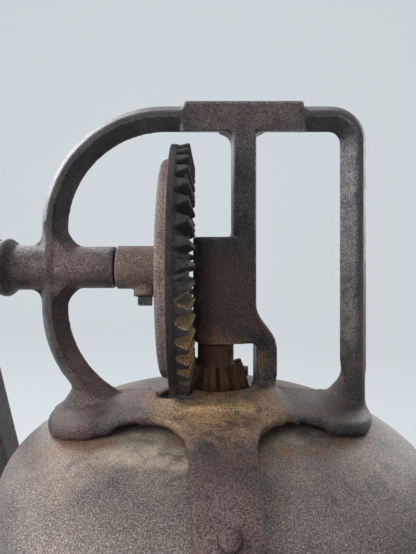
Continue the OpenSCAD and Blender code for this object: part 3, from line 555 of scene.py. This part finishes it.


# old hot-tinned sheet: dull grey, sandy to the eye where the tin has crystallised and corroded, with painted
# glints on the grains
def tinnedSheet(name, stains):
    look = lidLook
    material, tree = newMaterial(name)
    place = addNode(tree, "ShaderNodeTexCoord").outputs["Object"]
    sand = addNode(tree, "ShaderNodeTexNoise", {
        "Vector": place, "Scale": perMm(look["sandSize"]), "Detail": 3.0, "Roughness": 0.75,
    })
    clouds = addNode(tree, "ShaderNodeTexNoise", {
        "Vector": place, "Scale": perMm(look["cloudSize"]), "Detail": 6.0, "Roughness": 0.62,
    })
    smears = addNode(tree, "ShaderNodeTexNoise", {
        "Vector": place, "Scale": perMm(look["smearSize"]), "Detail": 5.0, "Distortion": 1.2,
    })
    tone = addNode(tree, "ShaderNodeMapRange", {
        "Value": clouds.outputs["Fac"], "From Min": look["tone"][0], "From Max": look["tone"][1],
    })
    colour = addNode(tree, "ShaderNodeMix", {
        0: tone.outputs[0], 6: srgb(look["dark"]), 7: srgb(look["light"]),
    }, data_type="RGBA")
    breakUp = addNode(tree, "ShaderNodeMapRange", {
        "Value": smears.outputs["Fac"], "From Min": look["breakUp"][0], "From Max": look["breakUp"][1],
        "To Max": look["stainMost"],
    })
    for colourName, places in stains.items():
        lying = addNode(tree, "ShaderNodeMath", {
            0: nearSpots(tree, place, places, look["stainCore"]), 1: breakUp.outputs[0],
        }, operation="MULTIPLY")
        colour = addNode(tree, "ShaderNodeMix", {
            0: lying.outputs[0], 6: colour.outputs[2], 7: srgb(look[colourName]),
        }, data_type="RGBA")
    smudge = addNode(tree, "ShaderNodeMapRange", {
        "Value": smears.outputs["Fac"], "From Min": look["smudgeBand"][0], "From Max": look["smudgeBand"][1],
        "To Max": look["smudgeMost"],
    })
    colour = addNode(tree, "ShaderNodeMix", {
        0: smudge.outputs[0], 6: colour.outputs[2], 7: srgb(look["dark"]),
    }, data_type="RGBA")
    # painted glints: light specks on the sand grains that stand in for highlights
    paintedGlint = addNode(tree, "ShaderNodeMapRange", {
        "Value": sand.outputs["Fac"], "From Min": look["paintedGlint"][0], "From Max": look["paintedGlint"][1],
        "To Max": look["paintedGlintMost"],
    })
    colour = addNode(tree, "ShaderNodeMix", {
        0: paintedGlint.outputs[0], 6: colour.outputs[2], 7: srgb(look["paintedGlintColour"]),
    }, data_type="RGBA")
    speck = addNode(tree, "ShaderNodeMapRange", {
        "Value": sand.outputs["Fac"], "From Min": look["speck"][0], "From Max": look["speck"][1],
        "To Min": look["speckTone"][0], "To Max": look["speckTone"][1],
    })
    colour = addNode(tree, "ShaderNodeMix", {
        0: 1.0, 6: colour.outputs[2], 7: speck.outputs[0],
    }, data_type="RGBA", blend_type="MULTIPLY")
    rough = addNode(tree, "ShaderNodeMapRange", {
        "Value": sand.outputs["Fac"], "From Min": noiseSpan[0], "From Max": noiseSpan[1],
        "To Min": look["rough"][0], "To Max": look["rough"][1],
    })
    bump = addNode(tree, "ShaderNodeBump", {
        "Strength": 0.35, "Distance": look["sandDepth"] * mm, "Height": sand.outputs["Fac"],
    })
    shader = addNode(tree, "ShaderNodeBsdfPrincipled", {
        "Base Color": colour.outputs[2], "Roughness": rough.outputs[0], "Metallic": look["metal"],
        "Normal": bump.outputs[0],
    })
    addNode(tree, "ShaderNodeOutputMaterial", {"Surface": shader.outputs[0]})
    return material


steelLook = {
    "clean": "#6f6b67", "brown": "#4b3a2e", "drawSize": 0.35, "spotSize": 6,   # millimetres
    "rust": (0.42, 0.62), "worn": (0.35, 0.65), "rough": (0.32, 0.62), "metal": 0.8, "lineDepth": 0.05,
}


# drawn mild steel, handled and a little rusty: fine lines along the bar and brown freckles
def drawnSteel(name, stretch):
    look = steelLook
    material, tree = newMaterial(name)
    place = addNode(tree, "ShaderNodeTexCoord").outputs["Object"]
    along = addNode(tree, "ShaderNodeMapping", {"Vector": place, "Scale": stretch})
    lines = addNode(tree, "ShaderNodeTexNoise", {
        "Vector": along.outputs[0], "Scale": perMm(look["drawSize"]), "Detail": 2.0,
    })
    spots = addNode(tree, "ShaderNodeTexNoise", {
        "Vector": place, "Scale": perMm(look["spotSize"]), "Detail": 6.0, "Roughness": 0.7,
    })
    rusty = addNode(tree, "ShaderNodeMapRange", {
        "Value": spots.outputs["Fac"], "From Min": look["rust"][0], "From Max": look["rust"][1],
    })
    colour = addNode(tree, "ShaderNodeMix", {
        0: rusty.outputs[0], 6: srgb(look["clean"]), 7: srgb(look["brown"]),
    }, data_type="RGBA")
    rough = addNode(tree, "ShaderNodeMapRange", {
        "Value": spots.outputs["Fac"], "From Min": look["worn"][0], "From Max": look["worn"][1],
        "To Min": look["rough"][0], "To Max": look["rough"][1],
    })
    bump = addNode(tree, "ShaderNodeBump", {
        "Strength": 0.2, "Distance": look["lineDepth"] * mm, "Height": lines.outputs["Fac"],
    })
    shader = addNode(tree, "ShaderNodeBsdfPrincipled", {
        "Base Color": colour.outputs[2], "Roughness": rough.outputs[0], "Metallic": look["metal"],
        "Normal": bump.outputs[0],
    })
    addNode(tree, "ShaderNodeOutputMaterial", {"Surface": shader.outputs[0]})
    return material


woodLook = {
    "bandSize": 7, "fibreSize": 0.8, "mottleSize": 18, "poreDepth": 0.12,   # millimetres
    "band": (0.35, 0.65), "streak": (0.75, 1.15),
    "worn": (0.35, 0.7), "mottle": (0.82, 1.1), "sheenSpan": (-0.1, 0.15),
}


# turned or sawn hardwood: long fibres, darker late wood, small pores
def hardwood(name, early, late, stretch, sheen):
    look = woodLook
    material, tree = newMaterial(name)
    place = addNode(tree, "ShaderNodeTexCoord").outputs["Object"]
    along = addNode(tree, "ShaderNodeMapping", {"Vector": place, "Scale": stretch})
    bands = addNode(tree, "ShaderNodeTexNoise", {
        "Vector": along.outputs[0], "Scale": perMm(look["bandSize"]), "Detail": 4.0, "Distortion": 0.8,
    })
    fibres = addNode(tree, "ShaderNodeTexNoise", {
        "Vector": along.outputs[0], "Scale": perMm(look["fibreSize"]), "Detail": 3.0,
    })
    mottle = addNode(tree, "ShaderNodeTexNoise", {
        "Vector": place, "Scale": perMm(look["mottleSize"]), "Detail": 3.0,
    })
    band = addNode(tree, "ShaderNodeMapRange", {
        "Value": bands.outputs["Fac"], "From Min": look["band"][0], "From Max": look["band"][1],
    })
    colour = addNode(tree, "ShaderNodeMix", {
        0: band.outputs[0], 6: srgb(early), 7: srgb(late),
    }, data_type="RGBA")
    streak = addNode(tree, "ShaderNodeMapRange", {
        "Value": fibres.outputs["Fac"], "From Min": noiseSpan[0], "From Max": noiseSpan[1],
        "To Min": look["streak"][0], "To Max": look["streak"][1],
    })
    worn = addNode(tree, "ShaderNodeMapRange", {
        "Value": mottle.outputs["Fac"], "From Min": look["worn"][0], "From Max": look["worn"][1],
        "To Min": look["mottle"][0], "To Max": look["mottle"][1],
    })
    for tone in (streak, worn):
        colour = addNode(tree, "ShaderNodeMix", {
            0: 1.0, 6: colour.outputs[2], 7: tone.outputs[0],
        }, data_type="RGBA", blend_type="MULTIPLY")
    rough = addNode(tree, "ShaderNodeMapRange", {
        "Value": fibres.outputs["Fac"],
        "To Min": sheen + look["sheenSpan"][0], "To Max": sheen + look["sheenSpan"][1],
    })
    bump = addNode(tree, "ShaderNodeBump", {
        "Strength": 0.3, "Distance": look["poreDepth"] * mm, "Height": fibres.outputs["Fac"],
    })
    shader = addNode(tree, "ShaderNodeBsdfPrincipled", {
        "Base Color": colour.outputs[2], "Roughness": rough.outputs[0], "Normal": bump.outputs[0],
    })
    addNode(tree, "ShaderNodeOutputMaterial", {"Surface": shader.outputs[0]})
    return material


glassLook = {"tint": "#fafcfb", "waveSize": 28, "waveDepth": 0.8, "rough": 0.02, "ior": 1.51}


# pressed soda glass: faintly green, with the slow waves that a mould leaves
def pressedGlass(name):
    look = glassLook
    material, tree = newMaterial(name)
    place = addNode(tree, "ShaderNodeTexCoord").outputs["Object"]
    waves = addNode(tree, "ShaderNodeTexNoise", {
        "Vector": place, "Scale": perMm(look["waveSize"]), "Detail": 2.0,
    })
    bump = addNode(tree, "ShaderNodeBump", {
        "Strength": 0.12, "Distance": look["waveDepth"] * mm, "Height": waves.outputs["Fac"],
    })
    shader = addNode(tree, "ShaderNodeBsdfPrincipled", {
        "Base Color": srgb(look["tint"]), "Roughness": look["rough"], "IOR": look["ior"],
        "Transmission Weight": 1.0, "Normal": bump.outputs[0],
    })
    addNode(tree, "ShaderNodeOutputMaterial", {"Surface": shader.outputs[0]})
    return material


brassLook = {
    "brown": "#474234", "green": "#37372d", "spotSize": 5, "tone": (0.35, 0.65), "rough": (0.4, 0.65),
    "metal": 0.4,
}


# drawn brass wire gone brown, with a little green in the corners
def oldBrass(name):
    look = brassLook
    material, tree = newMaterial(name)
    place = addNode(tree, "ShaderNodeTexCoord").outputs["Object"]
    spots = addNode(tree, "ShaderNodeTexNoise", {
        "Vector": place, "Scale": perMm(look["spotSize"]), "Detail": 5.0,
    })
    tone = addNode(tree, "ShaderNodeMapRange", {
        "Value": spots.outputs["Fac"], "From Min": look["tone"][0], "From Max": look["tone"][1],
    })
    colour = addNode(tree, "ShaderNodeMix", {
        0: tone.outputs[0], 6: srgb(look["brown"]), 7: srgb(look["green"]),
    }, data_type="RGBA")
    rough = addNode(tree, "ShaderNodeMapRange", {
        "Value": spots.outputs["Fac"], "To Min": look["rough"][0], "To Max": look["rough"][1],
    })
    shader = addNode(tree, "ShaderNodeBsdfPrincipled", {
        "Base Color": colour.outputs[2], "Roughness": rough.outputs[0], "Metallic": look["metal"],
    })
    addNode(tree, "ShaderNodeOutputMaterial", {"Surface": shader.outputs[0]})
    return material


frameIron = castIron("blacked sand-cast iron frame", frameFinish)
gearIron = castIron("cast gear iron", gearFinish)
pinionIron = castIron("rusty pinion iron", pinionFinish)
crankIron = castIron("crank arm iron", armFinish)
lidTin = tinnedSheet("hot-tinned lid sheet", lidStains)
ringTin = tinnedSheet("hot-tinned strainer ring", {"rust": [((0, 0, -45), 24)]})
shaftSteelX = drawnSteel("drawn steel bar along the crank", (0.05, 1, 1))
shaftSteelZ = drawnSteel("drawn steel bar upright", (1, 1, 0.05))
knobWood = hardwood("stained maple knob", "#7d4a28", "#4e2a16", (0.08, 1, 1), 0.38)
dasherWood = hardwood("bare maple dasher", "#c8a878", "#a47f52", (1, 1, 0.07), 0.62)
jarGlass = pressedGlass("pressed soda glass")
meshBrass = oldBrass("tarnished strainer brass")
print("finishes ready")


# castings, gears, turned and sawn pieces

softPieces = {
    # node: body, voxel in mm, smoothing rounds, finish, slot
    "gear_frame": ("head", 0.6, 3, frameIron, "cast_iron"),
    "drive_gear": ("crank", 0.42, 1, gearIron, "cast_iron"),
    "pinion": ("dasher", 0.24, 2, pinionIron, "cast_iron"),
    "crank_arm": ("crank", 0.6, 5, crankIron, "cast_iron"),
    "frame_rivets": ("head", 0.18, 3, frameIron, "steel"),
    "gear_screw": ("crank", 0.2, 3, crankIron, "steel"),
    "crank_shaft": ("crank", 0.4, 2, shaftSteelX, "steel"),
    "crank_pin": ("crank", 0.2, 3, shaftSteelX, "steel"),
    "knob_spindle": ("crank", 0.3, 2, shaftSteelX, "steel"),
    "knob_washer": ("crank", 0.2, 2, shaftSteelX, "steel"),
    "pinion_pin": ("dasher", 0.12, 4, pinionIron, "steel"),
    "dasher_shaft": ("dasher", 0.6, 2, shaftSteelZ, "steel"),
    "dasher_pin": ("dasher", 0.2, 3, shaftSteelZ, "steel"),
    "dasher_hub": ("dasher", 0.6, 3, dasherWood, "bare_wood"),
    "dasher_blade_1": ("dasher", 0.6, 4, dasherWood, "bare_wood"),
    "dasher_blade_2": ("dasher", 0.6, 4, dasherWood, "bare_wood"),
    "dasher_blade_3": ("dasher", 0.6, 4, dasherWood, "bare_wood"),
    "dasher_blade_4": ("dasher", 0.6, 4, dasherWood, "bare_wood"),
    "crank_knob": ("knob", 0.5, 4, knobWood, "stained_wood"),
}
# corners by the grip post, the feet and the apron: place from the crossing of the shafts, reach in mm, rounds
frameCorners = [
    ((38.3, 0, -36.2), 7, 20), ((38.3, 0, -36.2), 5, 60),
    ((18.6, -6, -38), 5, 50), ((18.6, -11, -38.6), 5, 50), ((18.6, -16, -39.6), 5, 50),
    ((-20.5, 3, -39), 6, 30), ((-46, -14, -45), 17, 14), ((47, -10, -44), 15, 20), ((42, -5, -38), 8, 30),
    ((-28, -14, -43), 9, 30), ((28, -14, -43), 9, 30),
]
for nodeName, (body, voxel, rounds, finish, slot) in softPieces.items():
    piece = softCopy(nodeName, nodeName + "_shaped", voxel, rounds)
    if nodeName == "gear_frame":
        easeCorners(piece, frameCorners)
    finishPiece(piece, body, finish, [nodeName])
    print(nodeName, len(piece.data.polygons), "faces")
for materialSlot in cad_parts["screen_ring"].material_slots:
    materialSlot.material = ringTin
print("castings and wood ready")


# strainer: brass wire cloth, over and under, soldered between a rim and a collar round the shaft

strainerSize = {
    # millimetres
    "ventR": 19.4, "rimR": 24, "collarR": 9.8, "holeR": 7.6,
    "pitch": 1.2, "wireR": 0.15, "wireSides": 5, "wires": 33, "hold": 0.5, "rimSteps": 72,
}


def makeStrainer():
    g = strainerSize
    low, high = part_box("strainer_screen")
    mid = (low[2] + high[2]) / 2
    sway = (high[2] - low[2]) / 2 - g["wireR"] * mm
    pitch = g["pitch"] * mm
    start = -pitch * (g["wires"] - 1) / 2
    bm = bmesh.new()
    ring = bmesh.ops.create_circle(
        bm, segments=g["wireSides"], radius=g["wireR"] * mm, matrix=Matrix.Rotation(math.pi / 2, 4, "Y"),
    )["verts"]
    bmesh.ops.translate(bm, verts=ring, vec=(start, start, mid + sway))
    for i in range(1, 2 * g["wires"] - 1):
        rim = [e for e in bm.edges if len(e.link_faces) < 2 and all(v in ring for v in e.verts)]
        grown = bmesh.ops.extrude_edge_only(bm, edges=rim)
        ring = [v for v in grown["geom"] if isinstance(v, bmesh.types.BMVert)]
        rise = sway * (math.cos(math.pi * i / 2) - math.cos(math.pi * (i - 1) / 2))
        bmesh.ops.translate(bm, verts=ring, vec=(pitch / 2, 0, rise))
    flip = Matrix.Translation((0, 0, -mid))
    wire = bm.verts[:] + bm.edges[:] + bm.faces[:]
    for i in range(1, g["wires"]):
        copied = bmesh.ops.duplicate(bm, geom=wire)["geom"]
        points = [v for v in copied if isinstance(v, bmesh.types.BMVert)]
        bmesh.ops.translate(bm, verts=points, vec=(0, pitch * i, 0))
        if i % 2:
            bmesh.ops.scale(bm, verts=points, vec=(1, 1, -1), space=flip)
    copied = bmesh.ops.duplicate(bm, geom=bm.verts[:] + bm.edges[:] + bm.faces[:])["geom"]
    points = [v for v in copied if isinstance(v, bmesh.types.BMVert)]
    bmesh.ops.rotate(bm, verts=points, cent=(0, 0, mid), matrix=Matrix.Rotation(math.pi / 2, 3, "Z"))
    bmesh.ops.scale(bm, verts=points, vec=(1, 1, -1), space=flip)
    # the wires end inside the rim and the collar
    outside, inside = (g["ventR"] + g["hold"]) * mm, (g["collarR"] - g["hold"]) * mm
    bmesh.ops.delete(bm, geom=[v for v in bm.verts if not inside < v.co.xy.length < outside], context="VERTS")
    bmesh.ops.delete(bm, geom=[v for v in bm.verts if not v.link_faces], context="VERTS")
    bmesh.ops.holes_fill(bm, edges=[e for e in bm.edges if e.is_boundary], sides=0)
    for inR, outR in ((g["ventR"], g["rimR"]), (g["holeR"], g["collarR"])):
        corners = [(inR, low[2]), (outR, low[2]), (outR, high[2]), (inR, high[2])]
        verts = [bm.verts.new((r * mm, 0, z)) for r, z in corners]
        edges = [bm.edges.new(pair) for pair in zip(verts, verts[1:] + verts[:1])]
        bmesh.ops.spin(
            bm, geom=verts + edges, cent=(0, 0, 0), axis=(0, 0, 1), angle=2 * math.pi, steps=g["rimSteps"],
            use_merge=True,
        )
    return pieceFrom("strainer_screen_woven", bm)


strainer = finishPiece(makeStrainer(), "head", meshBrass, ["strainer_screen"])
print("strainer ready,", len(strainer.data.polygons), "faces")


# the end of a thread: its last ring is drawn together and closed
def runOut(bm, ring, share):
    centre = sum((v.co for v in ring), Vector()) / len(ring)
    bmesh.ops.scale(bm, verts=ring, vec=(share, share, share), space=Matrix.Translation(-centre))
    bmesh.ops.contextual_create(bm, geom=ring)


# lid: one spun sheet with an open vent, a rolled skirt bead and the thread pressed into the skirt

lidTop = 253.361   # height of the dome's top if it had no vent; the lid's other heights are from there
lidSize = {
    # millimetres and degrees
    "domeR": 63.3, "domeH": 18, "sheet": 1.0, "ventR": 20, "skirtZ": 216 - lidTop,
    "beadR": 1.35, "beadOut": 0.2, "beadLip": 0.3, "beadFrom": 80, "beadStep": 26, "beadPoints": 10,
    "threadR": 1.5, "threadPitch": 6.5, "threadTurns": 1.6, "threadTop": -22.5,
    "threadBulge": 0.9, "threadSink": 0.15, "threadSteps": 90, "threadSides": 10, "threadEnd": 0.35,
    "domeSteps": 36, "steps": 180,
}


def makeLid():
    g = lidSize
    bm = bmesh.new()
    topZ = lidTop * mm
    inR, inH = g["domeR"] - g["sheet"], g["domeH"] - g["sheet"]
    angleIn = math.asin(g["ventR"] / g["domeR"])
    angles = [angleIn + (math.pi / 2 - angleIn) * i / g["domeSteps"] for i in range(g["domeSteps"] + 1)]
    outer = [(g["domeR"] * math.sin(a), -g["domeH"] * (1 - math.cos(a))) for a in angles]
    wall = [(g["domeR"], g["skirtZ"] + 2 * g["beadR"])]
    centre = (inR + g["beadR"] + g["beadOut"], g["skirtZ"] + g["beadR"])
    curl = [math.radians(g["beadFrom"] - g["beadStep"] * i) for i in range(g["beadPoints"])]
    bead = [(centre[0] + g["beadR"] * math.cos(a), centre[1] + g["beadR"] * math.sin(a)) for a in curl]
    inner = [(inR * math.sin(a), -g["sheet"] - inH * (1 - math.cos(a))) for a in reversed(angles)]
    profile = outer + wall + bead + [(inR, g["skirtZ"] + g["beadLip"])] + inner
    verts = [bm.verts.new((r * mm, 0, topZ + z * mm)) for r, z in profile]
    edges = [bm.edges.new(pair) for pair in zip(verts, verts[1:] + verts[:1])]
    bmesh.ops.spin(
        bm, geom=verts + edges, cent=(0, 0, 0), axis=(0, 0, 1), angle=2 * math.pi, steps=g["steps"],
        use_merge=True,
    )
    # the thread: a half-round bulge wound on the skirt
    ring = bmesh.ops.create_circle(
        bm, segments=g["threadSides"], radius=g["threadR"] * mm, matrix=Matrix.Rotation(math.pi / 2, 4, "X"),
    )["verts"]
    bmesh.ops.scale(bm, verts=ring, vec=(g["threadBulge"] / g["threadR"], 1, 1))
    bmesh.ops.translate(
        bm, verts=ring, vec=((g["domeR"] - g["threadSink"]) * mm, 0, topZ + g["threadTop"] * mm),
    )
    ringEdges = list({e for v in ring for e in v.link_edges})
    perTurn = g["threadSteps"]
    turns = int(g["threadTurns"] * perTurn)
    wound = bmesh.ops.spin(
        bm, geom=ring + ringEdges, cent=(0, 0, 0), axis=(0, 0, 1),
        dvec=(0, 0, -g["threadPitch"] * mm / perTurn), angle=2 * math.pi * turns / perTurn, steps=turns,
    )
    runOut(bm, ring, g["threadEnd"])
    runOut(bm, [v for v in wound["geom_last"] if isinstance(v, bmesh.types.BMVert)], g["threadEnd"])
    return pieceFrom("lid_shaped", bm)


finishPiece(makeLid(), "head", lidTin, ["lid"])
print("lid ready")


# jar: one loop of glass drawn up from the foot, over the lip and down to the floor inside

jarSize = {
    # millimetres and degrees
    "half": 74, "corner": 46, "wall": 4.5, "floor": 7, "bodyZ": 178, "shoulderH": 36,
    "neckR": 59.5, "top": 240, "heel": 9, "heelStep": 10, "shoulderStep": 6, "segments": 128,
    "threadPitch": 6.5, "threadTurns": 1.5, "threadZ": 222, "threadR": 1.6, "threadProud": 1.2,
    "threadEnds": 0.08, "shoulderBlend": 2.5, "heelIn": 0.6,
    # heights of the levels up the outside, fine ones where the thread is, and down the inside
    "outside": (40, 80, 120, 150, 170), "neck": 217, "neckStep": 0.6, "neckLevels": 33, "lipFrom": 238,
    "lipOut": ((0.6, 0.6), (0, 1.6), (0, 3.0)), "lipIn": ((0.6, -0.5),),   # below the top, drawn in
    "inside": (238, 228, 216), "insideBody": (160, 120, 80, 40), "threadFrom": 216,
}


# radius of a square with rounded corners, in the direction of an angle
def squareRadius(angle, half, corner):
    c, s = abs(math.cos(angle)), abs(math.sin(angle))
    flat = half / max(c, s)
    if flat * min(c, s) <= half - corner:
        return flat
    m = half - corner
    return m * (c + s) + math.sqrt(max(0.0, corner ** 2 - m ** 2 * (1 - 2 * c * s)))


def jarRadius(angle, z, inset):
    g = jarSize
    square = squareRadius(angle, g["half"] - inset, g["corner"] - inset)
    far = (g["half"] - g["corner"]) * math.sqrt(2) + g["corner"] - inset
    near = g["neckR"] - inset
    rise = g["shoulderH"] - inset
    lift = min(1.0, max(0.0, (z - g["bodyZ"]) / rise))
    domed = near + (far - near) * math.sqrt(1 - lift ** 2)
    blend = g["shoulderBlend"]
    meet = max(0.0, blend - abs(square - domed)) / blend
    return min(square, domed) - meet * meet * blend / 4


# how far the moulded thread stands out of the neck at an angle and height
def threadBulge(angle, z):
    g = jarSize
    bulge = 0.0
    for turn in range(math.ceil(g["threadTurns"])):
        wound = (angle / (2 * math.pi)) % 1 + turn
        ends = min(1.0, wound / g["threadEnds"], (g["threadTurns"] - wound) / g["threadEnds"])
        off = (z - g["threadZ"] - g["threadPitch"] * wound) / g["threadR"]
        if ends > 0:
            bulge = max(bulge, ends * math.sqrt(max(0.0, 1 - off * off)))
    return g["threadProud"] * bulge


def makeJar():
    g = jarSize
    quarter = [math.radians(a) for a in range(0, 91, g["heelStep"])]
    shoulder = [math.sin(math.radians(a)) for a in range(0, 91, g["shoulderStep"])]
    inRise, inHeel = g["shoulderH"] - g["wall"], g["heel"] - g["wall"] * g["heelIn"]
    # each level of the loop: height, inset of its wall, and how far it is drawn in
    levels = [(g["heel"] * (1 - math.cos(a)), 0, g["heel"] * (1 - math.sin(a))) for a in quarter]
    levels += [(z, 0, 0) for z in g["outside"]]
    levels += [(g["bodyZ"] + g["shoulderH"] * up, 0, 0) for up in shoulder]
    levels += [(g["neck"] + g["neckStep"] * i, 0, 0) for i in range(g["neckLevels"])] + [(g["lipFrom"], 0, 0)]
    levels += [(g["top"] - below, 0, draw) for below, draw in g["lipOut"]]
    levels += [(g["top"] - below, g["wall"], draw) for below, draw in g["lipIn"]]
    levels += [(z, g["wall"], 0) for z in g["inside"]]
    levels += [(g["bodyZ"] + inRise * up, g["wall"], 0) for up in reversed(shoulder)]
    levels += [(z, g["wall"], 0) for z in g["insideBody"]]
    levels += [
        (g["floor"] + inHeel * (1 - math.sin(a)), g["wall"], inHeel * (1 - math.cos(a))) for a in quarter
    ]
    bm = bmesh.new()
    loop = bmesh.ops.create_circle(bm, segments=g["segments"], radius=1, cap_ends=False)["verts"]
    for i, (z, inset, draw) in enumerate(levels):
        if i:
            rim = [e for e in bm.edges if len(e.link_faces) < 2 and all(v in last for v in e.verts)]
            grown = bmesh.ops.extrude_edge_only(bm, edges=rim)
            loop = [v for v in grown["geom"] if isinstance(v, bmesh.types.BMVert)]
        for v in loop:
            angle = math.atan2(v.co.y, v.co.x)
            thread = threadBulge(angle, z) if inset == 0 and z > g["threadFrom"] else 0
            radius = (jarRadius(angle, z, inset) - draw + thread) * mm
            v.co = (radius * math.cos(angle), radius * math.sin(angle), z * mm)
        last = set(loop)
    bmesh.ops.holes_fill(bm, edges=[e for e in bm.edges if e.is_boundary], sides=0)
    return pieceFrom("glass_jar_shaped", bm)


finishPiece(makeJar(), "jar", jarGlass, ["glass_jar"])
print("jar ready")
